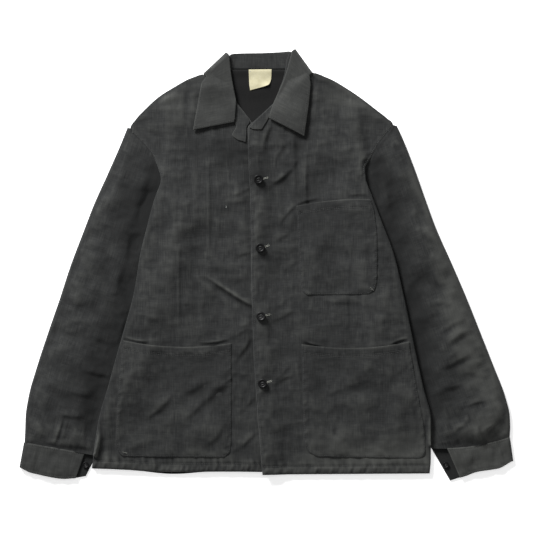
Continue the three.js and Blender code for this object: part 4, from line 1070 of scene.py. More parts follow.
# Facings: the fronts' inner edges, of the same cotton. Their corners fold back on to the fronts below the
# collar, a flap on the right front and a triangle on the left one.

FACING_RIGHT = table(
    "ax ay bx by",
    (-50, 217, -36, 213),
    (-60, 226, -35, 226),
    (-53, 241, -34.5, 239),
    (-56, 250, -29.5, 248.5),
    (-56, 264, -40, 265),
    (-58, 281, -52, 281),
)
FACING_LEFT = table(
    "ax ay bx by",
    (-30, 238.5, -24, 235.5),
    (-22, 248, -10, 235),
    (-11, 258, -3, 244),
    (0, 269, 4, 256),
    (8, 276, 10, 270),
)
FACING_RIM = 0.9
FACING_WALL = 2.0
FACING_SPACING = 1.3
# How far down from its upper edge a patch's sag reaches
PATCH_SAG_REACH = 45.0


class Patch(Panel):
    """A smaller piece laid on the others, between two edges of its own table."""

    def __init__(self, rows, rim, spacing, sag=0.0):
        self.t, self.levels = stations(rows, ("ax", "ay", "bx", "by"), rim, spacing)
        self.a, self.b = edge_at(rows, "ax", "ay", self.t), edge_at(rows, "bx", "by", self.t)
        self.rim, self.spacing, self.sag = rim, spacing, sag
        self.mouth = max(rows["by"])
        across = np.linspace(0, 1, 40)[:, None]
        low = self.a[0] + (self.b[0] - self.a[0]) * across
        high = self.a[-1] + (self.b[-1] - self.a[-1]) * across
        high[:, 1] -= self.sag * 4 * across[:, 0] * (1 - across[:, 0])
        self.high, self.low = high, low
        self.outline = np.vstack((self.a[::2], high, self.b[::-2], low[::-1]))
        self.inside, self.inset = outline_fields(self.outline)

    def bend(self, plan, shares):
        """Moves its points down where its upper edge sags."""
        near = ramp(plan[..., 1], self.mouth - PATCH_SAG_REACH, self.mouth)
        plan[..., 1] -= self.sag * 4 * shares * (1 - shares) * near
        return plan


def make_facing(side, rows, seed):
    global laid
    patch = Patch(rows, FACING_RIM, FACING_SPACING)
    top = levelled(laid, patch.inside, 5) + FACING_WALL + 0.15 * noise(seed, 6, 6)
    top = resting(top, patch.inside, 2 * FACING_RIM + 0.1)
    wear_and_painted_light = edges_worn(patch.inset, 0.2)
    piece = patch.build("cloth_facing_" + side, FACING_WALL, top, laid, wear_and_painted_light, charcoal_cotton)
    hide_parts("facing_" + side)
    laid = np.where(patch.inside, np.maximum(laid, top), laid)


make_facing("right", FACING_RIGHT, 51)
front_left_piece = make_front("left", ("dx", "dy"), ("lx", "ly"), 61)
make_facing("left", FACING_LEFT, 53)

# Patch pockets: one large one low on each front and a smaller one on the left breast. Each is a single
# layer with its edges turned in, sewn round the sides, with a wide double-stitched hem at its mouth.

POCKET_RIM = 0.45
POCKET_WALL = 1.5
# The mouth's hem and its thickness, how far above its lower edge its two rows of stitches are, and how far in
# from the pocket's edge the sides are sewn
MOUTH_BAND = 15
MOUTH_RISE = 0.4
MOUTH_ROWS = (0, 2.6)
SIDE_STITCH = 2.4
POCKET_PRESS = 1.3
POCKET_SWELLS = ((0.5, 18, 20), (0.3, 8, 7), (0.16, 4, 3))
POCKET_CRUMPLE = 0.4
MOUTH_WEAR = 0.7
POCKET_FOLDS = {
    "chest": (
        (66, 40, 150, 20, 6, 9, 0.9),
        (120, 90, 128, -30, 5, 9, 0.8),
        (170, 60, 176, -30, -4, 7, 0.8),
        (70, -20, 130, -44, 5, 7, 0.8),
        (139, 20, 140, -50, 2, 4, 0.7),
    ),
    "hip_right": (
        (-226, -281, -150, -202, -5, 7, 2),
        (-163, -286, -62, -172, -6, 8, 2.6),
        (-110, -320, -66, -262, -3, 7, 1.6),
        (-240, -190, -170, -176, 5, 8, 1),
        (-120, -170, -80, -152, 3, 6, 0.9),
        (-250, -230, -220, -160, 4, 8, 0.9),
    ),
    "hip_left": (
        (84, -236, 190, -200, 8, 9, 1.4),
        (120, -296, 236, -262, -8, 9, 1.3),
        (150, -190, 236, -170, 5, 8, 1),
        (220, -300, 256, -200, -6, 8, 1),
        (80, -170, 130, -162, 4, 6, 0.9),
        (90, -310, 130, -270, 4, 7, 1),
    ),
}


def evened(line, step):
    """A line with evenly spaced points and softened corners."""
    even = point_on(line, np.linspace(0, 1, max(4, int(run_along(line)[-1] / step))))
    even[1:-1] = (even[:-2] + even[1:-1] + even[2:]) / 3
    return even


def make_pocket(which, rows, sag, gape, seed):
    global laid
    patch = Patch(rows, POCKET_RIM, SPACING, sag)
    start = np.interp(GRID_Y, patch.a[:, 1], patch.a[:, 0])
    width = np.interp(GRID_Y, patch.a[:, 1], patch.b[:, 0] - patch.a[:, 0])
    part = np.clip((GRID_X - start) / width, 0, 1)
    top = levelled(laid, patch.inside, 5) + POCKET_WALL
    top += gape * (4 * part * (1 - part)) ** 0.6 * ramp(GRID_Y, patch.mouth - 26, patch.mouth)
    soft = swells(POCKET_SWELLS, seed)
    soft += POCKET_CRUMPLE * settled(patch.a, patch.b, [], seed + 9, FRONT_GROWTH)
    top += (soft + fold_relief(POCKET_FOLDS[which])) * ramp(patch.inset, 0, 14)
    from_mouth = nearest(patch.high[::3], GRID_X, GRID_Y)[0]
    top += MOUTH_RISE * (1 - ramp(from_mouth, MOUTH_BAND - 1, MOUTH_BAND + 1.5))
    top -= POCKET_PRESS * (1 - round_edge(patch.inset, 5)) * ramp(from_mouth, 0, 10)
    sewn = stitch_path(evened(np.vstack((patch.a[::-1], patch.low, patch.b)), 4)[2:-2], SIDE_STITCH)
    band = [evened(patch.high[1:-1] - (0, MOUTH_BAND - up), 3) for up in MOUTH_ROWS]
    top += seam_relief(sewn, seed + 3, 0.5, 0.45, wave=9, reach=6)
    for k, line in enumerate(band):
        top += seam_relief(line, seed + 4 + k, 0.5, 0.25, wave=8, reach=5)
    top = resting(top, patch.inside, 2 * POCKET_RIM + 0.1)
    # A worn mouth, and the fronts' patches of painted light and shade
    wear_and_painted_light = edges_worn(from_mouth, MOUTH_WEAR) + painted_patches(FRONT_PAINTED_PATCHES)
    piece = patch.build("cloth_pocket_" + which, POCKET_WALL, top, laid, wear_and_painted_light, charcoal_cotton)
    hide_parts("pocket_" + which)
    laid = np.where(patch.inside, np.maximum(laid, top), laid)
    sewing.append((piece, [sewn, *band]))


# Each mouth's sag, and how far it gapes
make_pocket("chest", CHEST_ROWS, -4, 1.6, 71)
make_pocket("hip_right", HIP_RIGHT_ROWS, 9, 2.0, 81)
make_pocket("hip_left", HIP_LEFT_ROWS, 9, 2.0, 91)

# Label: a blank piece of cream tape, sewn into the back neck seam along its upper edge. Its lower right
# corner has curled up from the back.

LABEL_ROWS = table(
    "ax ay bx by",
    (-28.5, 304, -14, 308),
    (-30, 314, 4.5, 314.5),
    (-30.5, 326, 8.5, 326),
    (-31, 340, 9, 340.5),
)
LABEL_RIM = 0.4
LABEL_WALL = 1.0
LABEL_SPACING = 1.2
LABEL_SWELL = 0.25
# The curled corner: its height, its place and its breadth
CURL, CURL_X, CURL_Y, CURL_REACH = 2.2, 4, 308, 9


def plain_finish(name, colour, roughness):
    """A material of one colour, its shader and its tree."""
    material = bpy.data.materials.new(name)
    material.use_nodes = True
    shader = material.node_tree.nodes["Principled BSDF"]
    shader.inputs["Base Color"].default_value = linear(colour)
    shader.inputs["Roughness"].default_value = roughness
    return material, shader, material.node_tree


# Woven cotton tape, matt, with fine ribs across it and a faint yellowing in patches. The ribs are 1.4 mm
# apart, coarser than real ones, which wouldn't show.
cream_tape, tape_shader, tape_tree = plain_finish("cream_tape", "a8a180", 0.85)
tape_cut = add_node(tape_tree, "ShaderNodeUVMap", {"uv_map": "cut"}).outputs["UV"]
ribs = add_node(tape_tree, "ShaderNodeTexWave", {"bands_direction": "Y"}, Vector=tape_cut, Scale=230.0,
                Distortion=0.6)
yellowing = add_node(tape_tree, "ShaderNodeTexNoise", Vector=tape_cut, Scale=110.0, Detail=3.0)
tape_tone = add_node(tape_tree, "ShaderNodeMix", {"data_type": "RGBA"}, Factor=yellowing.outputs["Fac"],
                     i6=linear("a8a180"), i7=linear("c3bea2"))
tape_bump = add_node(tape_tree, "ShaderNodeBump", Strength=0.3, Distance=0.0003, Height=ribs.outputs["Fac"])
tape_tree.links.new(tape_tone.outputs[2], tape_shader.inputs["Base Color"])
tape_tree.links.new(tape_bump.outputs["Normal"], tape_shader.inputs["Normal"])

label = Patch(LABEL_ROWS, LABEL_RIM, LABEL_SPACING)
label_top = levelled(laid, label.inside, 4) + LABEL_WALL + LABEL_SWELL * noise(97, 7, 5)
label_top += CURL * np.exp(-(np.hypot(GRID_X - CURL_X, GRID_Y - CURL_Y) / CURL_REACH) ** 2)
label_top = resting(label_top, label.inside, 2 * LABEL_RIM + 0.1)
label_piece = label.build("tape_label", LABEL_WALL, label_top, laid, 0 * GRID_X, cream_tape)
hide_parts("label")

# Collar: two layers of the same cotton, sewn, turned and pressed. The stand rises from the neck seam to the
# roll line, and the fall turns down from there: two pointed leaves on the fronts, and a strip behind.

# The stand's neck seam and roll line, and the fall's roll line and free edge, with the height of the middle
# of the cloth
STAND = table(
    "nx ny rx ry z",
    (-60, 298, -55.5, 301, 5.9),
    (-65, 305.5, -57.5, 310, 8),
    (-77.5, 318, -61, 326, 9.3),
    (-86, 327, -63.5, 341, 9.3),
    (-82, 336, -62, 354, 9.3),
    (-73, 341.2, -62, 366.5, 8.6),
    (-46, 341.2, -44, 369, 5),
    (-10, 341.2, -10, 369.5, 5),
    (28, 341.2, 25, 371, 5),
    (51, 341.2, 40, 370, 8.6),
    (59, 336, 35, 356, 9.3),
    (56, 328, 33, 342, 9.3),
    (38, 313.5, 29, 324, 9.3),
    (26, 300.5, 21.5, 305, 7),
)
LEAF_RIGHT = table(
    "rx ry ex ey z",
    (-56, 248, -128, 234, 11.5),
    (-54, 266, -125, 252, 11.5),
    (-53, 284, -121, 273, 11.5),
    (-57, 306, -117, 296, 12),
    (-61.5, 331.5, -113, 315, 13.5),
)
FALL_BACK = table(
    "rx ry ex ey z",
    (-58, 368.5, -86, 320, 1.6),
    (-36, 369, -46, 318, 1.6),
    (-10, 369.5, -10, 317, 1.6),
    (18, 371, 26, 318, 1.6),
    (38, 373, 60, 322, 1.6),
)
LEAF_LEFT = table(
    "rx ry ex ey z",
    (36.5, 342, 77, 313, 13.5),
    (28, 318, 75, 291, 12),
    (18.5, 296, 72, 266, 11.5),
    (10, 276, 69, 245, 11.5),
    (4, 255, 66, 223, 11.5),
)
# Where the collar turns from its leaves to the strip behind: the outer line's two ends and its inner side,
# the turn's radius and its middle's height
TURN_RIGHT = ((-70.5, 371), (-110.5, 333), 1)
TURN_LEFT = ((50.5, 376.5), (81, 334), -1)
TURN_RADIUS = 6.6
TURN_MIDDLE = 8.2
COLLAR_WALL = 3.0
COLLAR_SPACING = 1.8
COLLAR_TONE, STAND_TONE, COLLAR_EDGE_WEAR = 0.3, -0.15, 0.2


def rim_stations(length, rim, spacing):
    """Distances along a length, closer together near both ends."""
    near = rim * np.array((0, 0.08, 0.3, 0.62, 1))
    count = max(2, round((length - 2 * rim) / spacing))
    return np.concatenate((near, rim + (length - 2 * rim) * np.arange(1, count) / count, length - near[::-1]))


def ruled(one, two, wall, spacing):
    """A fine surface ruled between two lines of points, with more points near its rims."""
    steps = np.maximum(*(np.linalg.norm(np.diff(line, axis=0), axis=1) for line in (one, two)))
    run = np.concatenate(([0], np.cumsum(steps)))
    stops = rim_stations(run[-1], wall / 2, spacing)
    one, two = (np.stack([np.interp(stops, run, line[:, k]) for k in range(3)], -1) for line in (one, two))
    widest = np.linalg.norm(two - one, axis=1).max()
    across = rim_stations(widest, wall / 2, spacing) / widest
    return one[:, None] + (two - one)[:, None] * across[:, None]


def wall_about(name, middle, wall, extra_tone, tone):
    """A closed wall of cloth on both sides of a middle surface, with rounded rims."""
    along, across = np.gradient(middle, axis=0), np.gradient(middle, axis=1)
    normal = np.cross(along, across)
    normal /= np.maximum(np.linalg.norm(normal, axis=-1, keepdims=True), 1e-9)
    runs = []
    for axis in (0, 1):
        steps = np.linalg.norm(np.diff(middle, axis=axis), axis=-1)
        run = np.concatenate((np.zeros_like(np.take(steps, [0], axis)), np.cumsum(steps, axis)), axis)
        runs.append(run)
    ends = [np.minimum(run, np.take(run, [-1], axis) - run) for axis, run in enumerate(runs)]
    inset = np.minimum(*ends)
    half = wall / 2 * round_edge(inset, wall / 2)[..., None]
    rows, columns = inset.shape
    upper = np.arange(rows * columns).reshape(rows, columns)
    lower = upper + rows * columns
    rim = np.zeros((rows, columns), bool)
    rim[0] = rim[-1] = rim[:, 0] = rim[:, -1] = True
    lower = np.where(rim, upper, lower)
    faces = []
    for k, grid in enumerate((upper, lower)):
        quads = np.stack((grid[:-1, :-1], grid[:-1, 1:], grid[1:, 1:], grid[1:, :-1]), -1).reshape(-1, 4)
        faces += (quads[:, ::-1] if k else quads).tolist()
    points = np.concatenate((middle + normal * half, middle - normal * half)).reshape(-1, 3)
    used = np.unique(np.array(faces))
    renumbered = np.zeros(len(points), int)
    renumbered[used] = np.arange(len(used))
    cut = np.stack((runs[0].mean(1, keepdims=True) + 0 * inset, runs[1]), -1).reshape(-1, 2)
    cut = np.concatenate((cut, cut))[used]
    wear_and_painted_light = (extra_tone * np.exp(-((inset / 1.8) ** 2)) + tone).ravel()
    wear_and_painted_light = np.concatenate((wear_and_painted_light, wear_and_painted_light))[used]
    piece = cloth_mesh(name, points[used], renumbered[np.array(faces)].tolist(), cut, wear_and_painted_light, charcoal_cotton)
    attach(piece, "root")
    return piece


def ruling_ends(rows, near, far):
    """The two lines that a table's surface is ruled between."""
    t = np.linspace(0, len(rows["z"]) - 1, 60)
    z = column_at(rows, "z", t)
    return [np.column_stack((edge_at(rows, *names, t), z)) for names in (near, far)]


def turn_ends(turn, angles):
    """The collar's turn round one of its outer lines, at so many degrees from the top."""
    roll, free, inward_x = turn
    roll, free = np.array(roll, float), np.array(free, float)
    along = (free - roll) / np.hypot(*(free - roll))
    inward = np.array((along[1], -along[0]))
    inward *= np.sign(inward[0] * inward_x)
    angles = np.radians(angles)
    out = COLLAR_WALL / 2 + TURN_RADIUS * (1 - np.sin(angles))
    z = TURN_MIDDLE + TURN_RADIUS * np.cos(angles)
    return [np.column_stack((end + out[:, None] * inward, z)) for end in (roll, free)]


stand_middle = ruled(*ruling_ends(STAND, ("nx", "ny"), ("rx", "ry")), COLLAR_WALL, COLLAR_SPACING)
stand_x, stand_y, stand_z = np.moveaxis(stand_middle, -1, 0)
stand_need = blurred(laid, 2, 2) + 0.1 + COLLAR_WALL / 2
stand_z = np.maximum(stand_z, sampled(stand_need, stand_x, stand_y))
stand_z = stand_z + 0.25 * sampled(noise(101, 9, 6), stand_x, stand_y)
stand_middle = np.dstack((stand_x, stand_y, stand_z))
stand_piece = wall_about("cloth_collar_stand", stand_middle, COLLAR_WALL, 0, STAND_TONE)
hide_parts("collar_stand")

falling, rising = np.arange(5, 180, 10), np.arange(175, 0, -10)
fall_parts = (
    ruling_ends(LEAF_RIGHT, ("rx", "ry"), ("ex", "ey")),
    turn_ends(TURN_RIGHT, falling),
    ruling_ends(FALL_BACK, ("rx", "ry"), ("ex", "ey")),
    turn_ends(TURN_LEFT, rising),
    ruling_ends(LEAF_LEFT, ("rx", "ry"), ("ex", "ey")),
)
fall_lines = (np.vstack([part[k] for part in fall_parts]) for k in (0, 1))
fall_x, fall_y, fall_z = np.moveaxis(ruled(*fall_lines, COLLAR_WALL, COLLAR_SPACING), -1, 0)
# The leaves are raised over what they lie on, and have a soft swell and a finer one
leaf_cells = np.zeros(GRID_X.shape, bool)
leaf_rows = np.linspace(0, 4, 20)
for leaf in (LEAF_RIGHT, LEAF_LEFT):
    roll_line, free_edge = edge_at(leaf, "rx", "ry", leaf_rows), edge_at(leaf, "ex", "ey", leaf_rows)
    leaf_cells |= outline_fields(np.vstack((roll_line, free_edge[::-1])))[0]
leaf_low = levelled(resting(np.zeros(GRID_X.shape), leaf_cells, 0.5), leaf_cells, 5)
leaf_low = np.maximum(leaf_low, laid + 0.4)
over = ramp(fall_z, 9, 11)
lifted = sampled(leaf_low, fall_x, fall_y) + COLLAR_WALL / 2
lifted += 0.3 + 0.2 * sampled(noise(103, 12, 9), fall_x, fall_y)
fall_z = fall_z + over * np.maximum(0, lifted - fall_z)
fall_z = fall_z + over * 0.1 * sampled(noise(104, 5, 4), fall_x, fall_y)
fall_middle = np.dstack((fall_x, fall_y, fall_z))
fall_piece = wall_about("cloth_collar_fall", fall_middle, COLLAR_WALL, COLLAR_EDGE_WEAR, COLLAR_TONE)
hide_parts("collar_fall")

# Cuffs: one-piece bands of two layers of the same cotton, folded round the outer edge of the sleeve and sewn
# to its end. Each lies open on its inner side, where the under end shows past the upper one.

# The lower edge, from the outer fold at seam 0 to the under end at seam 1
CUFF_RIGHT = table(
    "seam x y",
    (0, -430.5, -354),
    (0.15, -415, -362.5),
    (0.38, -386, -369.5),
    (0.6, -356, -374.5),
    (0.8, -337, -373.5),
    (1, -316, -370),
)
CUFF_LEFT = table(
    "seam x y",
    (0, 431, -342),
    (0.2, 404, -356.5),
    (0.45, 368, -362),
    (0.65, 350, -369),
    (0.8, 338, -372.5),
    (1, 321, -378),
)
# Where the upper end stops, how far the band laps over the sleeve, and how far in it is sewn at both edges
CUFF_TOP_END = {"right": 0.84, "left": 0.8}
CUFF_WALL = 3.4
CUFF_FOLD_RADIUS = 2.4
CUFF_OVERLAP = 1.2
CUFF_STITCH_LOW, CUFF_STITCH_HIGH = 3.4, 3.0
CUFF_SPACING = 2.0
# The upper layer is painted paler as painted light, its edges are worn, and the under end, an inner face that
# has faded less, is painted darker still as painted shade
CUFF_PAINTED_LIGHT = {"right": 0.25, "left": 0.6}
CUFF_UNDER_SHADE = -1.1
CUFF_EDGE_WEAR = 0.3
CUFF_FOLDS = {
    "right": (
        (-404, -325, -410, -352, 2, 4, 1.2),
        (-380, -326, -384, -352, -2, 5, 0.9),
        (-352, -334, -352, -362, 2, 5, 0.9),
    ),
    "left": (
        (411, -318, 417.5, -346, 0, 3, -1.4),
        (388, -320, 392, -346, 2, 5, 1),
        (356, -322, 358, -350, -2, 5, 1),
    ),
}


def make_cuff(side, rows, sleeve, outward):
    o, i = (np.array((sleeve[x][-1], sleeve[y][-1])) for x, y in (("ox", "oy"), ("ix", "iy")))

    def ends(parts, z, out=0.0):
        """The band's seam and lower edge at so many parts across it, at one height."""
        parts = np.atleast_1d(parts).astype(float)
        seam = o + (i - o) * parts[:, None]
        seam[:, 1] -= 4 * parts * (1 - parts) * CUFF_SEAM_BOW[side] - CUFF_OVERLAP
        t = np.interp(parts, rows["seam"], np.arange(len(rows["seam"])))
        edge = edge_at(rows, "x", "y", t)
        z = z + 0 * parts
        shift = np.column_stack((out * outward + 0 * parts, 0 * parts))
        return np.column_stack((seam + shift, z)), np.column_stack((edge + shift, z))

    under_z = CUFF_WALL / 2
    middle_z, upper_z = under_z + CUFF_FOLD_RADIUS, under_z + 2 * CUFF_FOLD_RADIUS
    bands = [ends(np.linspace(1, 0.12, 30), under_z)]
    for angle in np.radians(np.arange(-75, 76, 15)):
        rise, out = CUFF_FOLD_RADIUS * math.sin(angle), CUFF_FOLD_RADIUS * math.cos(angle)
        bands.append(ends(0.025, middle_z + rise, out))
    bands.append(ends(np.linspace(0.12, CUFF_TOP_END[side], 40), upper_z))
    one, two = (np.vstack([band[k] for band in bands]) for k in (0, 1))
    middle = ruled(one, two, CUFF_WALL, CUFF_SPACING)
    x, y = middle[..., 0], middle[..., 1]
    upper = ramp(middle[..., 2], middle_z + 1, upper_z)
    seam_line, edge_line = ends(np.linspace(0.03, CUFF_TOP_END[side] - 0.02, 40), 0)
    seed = {"right": 111, "left": 121}[side]
    relief = 0.5 + 0.7 * noise(seed, 9, 9) + 0.2 * noise(seed + 1, 4, 4) + fold_relief(CUFF_FOLDS[side])
    sewn_low = evened(edge_line[:, :2] + (0, CUFF_STITCH_LOW), 3)
    sewn_high = evened(seam_line[:, :2] - (0, CUFF_STITCH_HIGH), 3)
    relief += seam_relief(sewn_low, seed + 2, 0.5, 0.5, wave=8, reach=7)
    relief += seam_relief(sewn_high, seed + 3, 0.5, 0.5, wave=8, reach=7)
    middle[..., 2] += upper * np.maximum(sampled(relief, x, y), -0.9)
    # Painted light on the upper layer and painted shade on the under end
    tone = CUFF_PAINTED_LIGHT[side] * upper + CUFF_UNDER_SHADE * (1 - upper)
    piece = wall_about("cloth_cuff_" + side, middle, CUFF_WALL, CUFF_EDGE_WEAR * upper, tone)
    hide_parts("cuff_" + side)
    sewing.append((piece, [sewn_low, sewn_high]))


make_cuff("right", CUFF_RIGHT, SLEEVE_RIGHT, -1)
make_cuff("left", CUFF_LEFT, SLEEVE_LEFT, 1)

# Buttons: moulded black plastic, four holes each, with a raised rim and a dished middle. Four close the
# front and a smaller one sits on the under end of each cuff, sewn on with two bars of thread.

# Radius and height
BUTTON, CUFF_BUTTON = (8.0, 3.4), (5.5, 2.6)
# Place, size, and tilt in degrees about X and Y
BUTTONS = (
    ("button_1", (-14, 148), BUTTON, (9, -5)),
    ("button_2", (-11, 29), BUTTON, (5, -3)),
    ("button_3", (-10, -90), BUTTON, (-4, 3)),
    ("button_4", (-7, -207), BUTTON, (4, 4)),
    ("cuff_button_right", (-316, -350), CUFF_BUTTON, (3, -3)),
    ("cuff_button_left", (313, -350), CUFF_BUTTON, (4, 3)),
)
# A button's face from its middle out, as shares of its radius and height, and the underside's radius
BUTTON_FACE = table(
    "out level",
    (0, 0.7),
    (0.55, 0.72),
    (0.64, 0.78),
    (0.74, 0.97),
    (0.82, 1),
    (0.92, 0.94),
    (0.97, 0.8),
    (1, 0.55),
)
RIM_RINGS = (0.56, 0.62, 0.67, 0.72, 0.78, 0.85, 0.91, 0.96, 0.99, 1.0)
UNDER_SHARE = 0.93
# The four holes, as shares of the radius and height, and the thread through them
HOLE_RADIUS, HOLE_PLACE, HOLE_FLOOR = 0.12, 0.25, 0.25
BAR_LEVEL, BAR_LENGTH, BAR_WIDTH, BAR_LEAN = 0.78, 2.7, 0.13, 0.15
# How far a button stands off the cloth, front and cuff
BUTTON_SHANK, CUFF_BUTTON_SHANK = 0.5, 0.3

# Moulded polyester, black through. Fine scratches and dust dull its gloss unevenly.
black_plastic, plastic_shader, plastic_tree = plain_finish("black_plastic", "0a0a0b", 0.5)
plastic_shader.inputs["Specular IOR Level"].default_value = 0.22
object_place = add_node(plastic_tree, "ShaderNodeTexCoord").outputs["Object"]
scuffs = add_node(plastic_tree, "ShaderNodeTexNoise", Vector=object_place, Scale=900.0, Detail=3.0)
dulled = add_node(plastic_tree, "ShaderNodeMapRange", Value=scuffs.outputs["Fac"], To_Min=0.32, To_Max=0.6)
plastic_tree.links.new(dulled.outputs["Result"], plastic_shader.inputs["Roughness"])

# Spun polyester thread, dyed dark grey, a little paler than the cloth once both are washed
sewing_thread = plain_finish("sewing_thread", "3d3e3d", 0.7)[0]


def thread_bar(points, faces, centre, length, width, lean, around=8, along=6):
    """Adds a plump bar of thread to a mesh."""
    first = len(points)
    for i in range(along + 1):
        polar = math.pi * i / along
        for j in range(around):
            turn = 2 * math.pi * j / around
            ring = max(math.sin(polar), 0.02)
            x = length / 2 * math.cos(polar)
            y, z = width / 2 * ring * math.cos(turn), width / 2 * ring * math.sin(turn)
            points.append((centre[0] + x * math.cos(lean) - y * math.sin(lean),
                           centre[1] + x * math.sin(lean) + y * math.cos(lean), centre[2] + z))
    for i in range(along):
        for j in range(around):
            k = (j + 1) % around
            a, b = first + i * around, first + (i + 1) * around
            faces.append((a + j, a + k, b + k, b + j))
    faces.append(tuple(first + j for j in range(around)))
    faces.append(tuple(first + along * around + j for j in reversed(range(around))))


def make_button(name, place, size, tilt):
    radius, height = size
    radii = np.concatenate((np.linspace(0, 0.5, 15)[1:], RIM_RINGS))
    level = np.interp(radii, BUTTON_FACE["out"], BUTTON_FACE["level"])
    turns = np.linspace(0, 2 * math.pi, 64, endpoint=False)
    r, turn = np.meshgrid(radii * radius, turns, indexing="ij")
    x, y = r * np.cos(turn), r * np.sin(turn)
    z = np.repeat(level[:, None], len(turns), 1) * height
    spread = HOLE_PLACE * radius
    for hx in (-spread, spread):
        for hy in (-spread, spread):
            z = np.where(np.hypot(x - hx, y - hy) < HOLE_RADIUS * radius, HOLE_FLOOR * height, z)
    points = [(0, 0, level[0] * height)] + list(zip(x.ravel(), y.ravel(), z.ravel()))
    count, rings = len(turns), len(radii)
    faces = [(0, 1 + k, 1 + (k + 1) % count) for k in range(count)]
    faces += [[1 + v for v in quad] for quad in grid_faces(0, rings, count, wrap=True)]
    base = len(points)
    points += [(UNDER_SHARE * radius * math.cos(a), UNDER_SHARE * radius * math.sin(a), 0) for a in turns]
    edge = 1 + (rings - 1) * count
    faces += [(edge + k, base + k, base + (k + 1) % count, edge + (k + 1) % count) for k in range(count)]
    faces.append([base + k for k in reversed(range(count))])
    plastic_faces = len(faces)
    for hy in (-spread, spread):
        middle = (0, hy, BAR_LEVEL * height)
        thread_bar(points, faces, middle, BAR_LENGTH * spread, BAR_WIDTH * radius, BAR_LEAN)
    points = np.array(points)
    lean_x, lean_y = np.radians(tilt)
    points[:, 2] += points[:, 1] * math.tan(lean_x) + points[:, 0] * math.tan(lean_y)
    if size is CUFF_BUTTON:
        rest = CUFF_WALL + CUFF_BUTTON_SHANK
    else:
        rest = sampled(laid, *np.array(place, float)[:, None])[0] + BUTTON_SHANK
    mesh = closed_mesh("plastic_" + name, points + (*place, rest - points[:, 2].min()), faces)
    mesh.materials.append(black_plastic)
    mesh.materials.append(sewing_thread)
    mesh.polygons.foreach_set("material_index", (np.arange(len(faces)) >= plastic_faces).astype(np.int32))
    piece = added("plastic_" + name, mesh)
    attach(piece, "root")
    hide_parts(name)


for button in BUTTONS:
    make_button(*button)

# Sewing: lockstitch along every seam and hem, in thread that has faded with the cloth. Each stitch is
# 2.6 mm of thread with a short gap before the next.

# Pitch, length and width of the stitches, and how far they stand on the cloth
LOCKSTITCH = (3.2, 2.6, 0.55)
STITCH_LIFT, CLOSE_STITCH_LIFT = 0.12, 0.2


def stitch_tree():
    """Bars of thread, evenly along a path on the cloth, each a little uneven in length."""
    tree = bpy.data.node_groups.new("running_stitches", "GeometryNodeTree")
    kinds = (("Geometry", "Geometry"), ("Pitch", "Float"), ("Length", "Float"), ("Width", "Float"),
             ("Turn", "Float"), ("Seed", "Int"), ("Thread", "Material"))
    for name, kind in kinds:
        tree.interface.new_socket(name, in_out="INPUT", socket_type="NodeSocket" + kind)
    tree.interface.new_socket("Geometry", in_out="OUTPUT", socket_type="NodeSocketGeometry")
    given = add_node(tree, "NodeGroupInput").outputs
    curve = add_node(tree, "GeometryNodeMeshToCurve", Mesh=given["Geometry"])
    points = add_node(tree, "GeometryNodeCurveToPoints", {"mode": "LENGTH"}, Curve=curve.outputs["Curve"],
                      Length=given["Pitch"])
    along = add_node(tree, "FunctionNodeAlignRotationToVector", {"axis": "X"},
                     Vector=points.outputs["Tangent"])
    turn = add_node(tree, "FunctionNodeAxisAngleToRotation", Axis=(0, 0, 1), Angle=given["Turn"])
    turned = add_node(tree, "FunctionNodeRotateRotation", {"rotation_space": "LOCAL"},
                      Rotation=along.outputs["Rotation"], Rotate_By=turn.outputs["Rotation"])
    uneven = add_node(tree, "FunctionNodeRandomValue", {"data_type": "FLOAT"}, i2=0.88, i3=1.08,
                      Seed=given["Seed"])
    length = add_node(tree, "ShaderNodeMath", {"operation": "MULTIPLY"}, i0=given["Length"],
                      i1=uneven.outputs[1])
    size = add_node(tree, "ShaderNodeCombineXYZ", X=length.outputs[0], Y=given["Width"], Z=given["Width"])
    bar = add_node(tree, "GeometryNodeMeshUVSphere", Segments=6, Rings=4, Radius=0.5)
    placed = add_node(tree, "GeometryNodeInstanceOnPoints", Points=points.outputs["Points"],
                      Instance=bar.outputs["Mesh"], Rotation=turned.outputs["Rotation"],
                      Scale=size.outputs[0])
    real = add_node(tree, "GeometryNodeRealizeInstances", Geometry=placed.outputs["Instances"])
    finished = add_node(tree, "GeometryNodeSetMaterial", Geometry=real.outputs["Geometry"],
                        Material=given["Thread"])
    add_node(tree, "NodeGroupOutput", Geometry=finished.outputs["Geometry"])
    return tree


stitches = stitch_tree()


def sew(name, sewn, stitch, turn, seed, thread, lift=STITCH_LIFT):
    """Stitches of thread along lines in plan, each line on the piece it is sewn to."""
    points, edges = [], []
    for piece, lines in sewn:
        surface = surface_of(piece.data)
        for line in lines:
            first = len(points)
            for x, y in evened(line, 1.6):
                place = Vector(((x + SHIFT[0]) / 1000, (y + SHIFT[1]) / 1000, 1))
                hit = surface.ray_cast(place, Vector((0, 0, -1)))[0]
                if hit is None:
                    continue
                points.append((place.x, place.y, hit.z + lift / 1000))
            edges += [(k, k + 1) for k in range(first, len(points) - 1)]
    path = bpy.data.meshes.new(name + "_path")
    path.from_pydata(points, edges, [])
    carrier = added(name + "_path", path)
    modifier = carrier.modifiers.new("stitches", "NODES")
    modifier.node_group = stitches
    values = {"Turn": math.radians(turn), "Seed": seed, "Thread": thread}
    values.update(zip(("Pitch", "Length", "Width"), np.array(stitch) / 1000))
    for item in stitches.interface.items_tree:
        if item.in_out == "INPUT" and item.name in values:
            modifier[item.identifier] = values[item.name]
    mesh = bpy.data.meshes.new_from_object(carrier.evaluated_get(bpy.context.evaluated_depsgraph_get()))
    mesh.name = name
    mesh.shade_smooth()
    bpy.data.objects.remove(carrier)
    piece = added(name, mesh)
    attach(piece, "root")


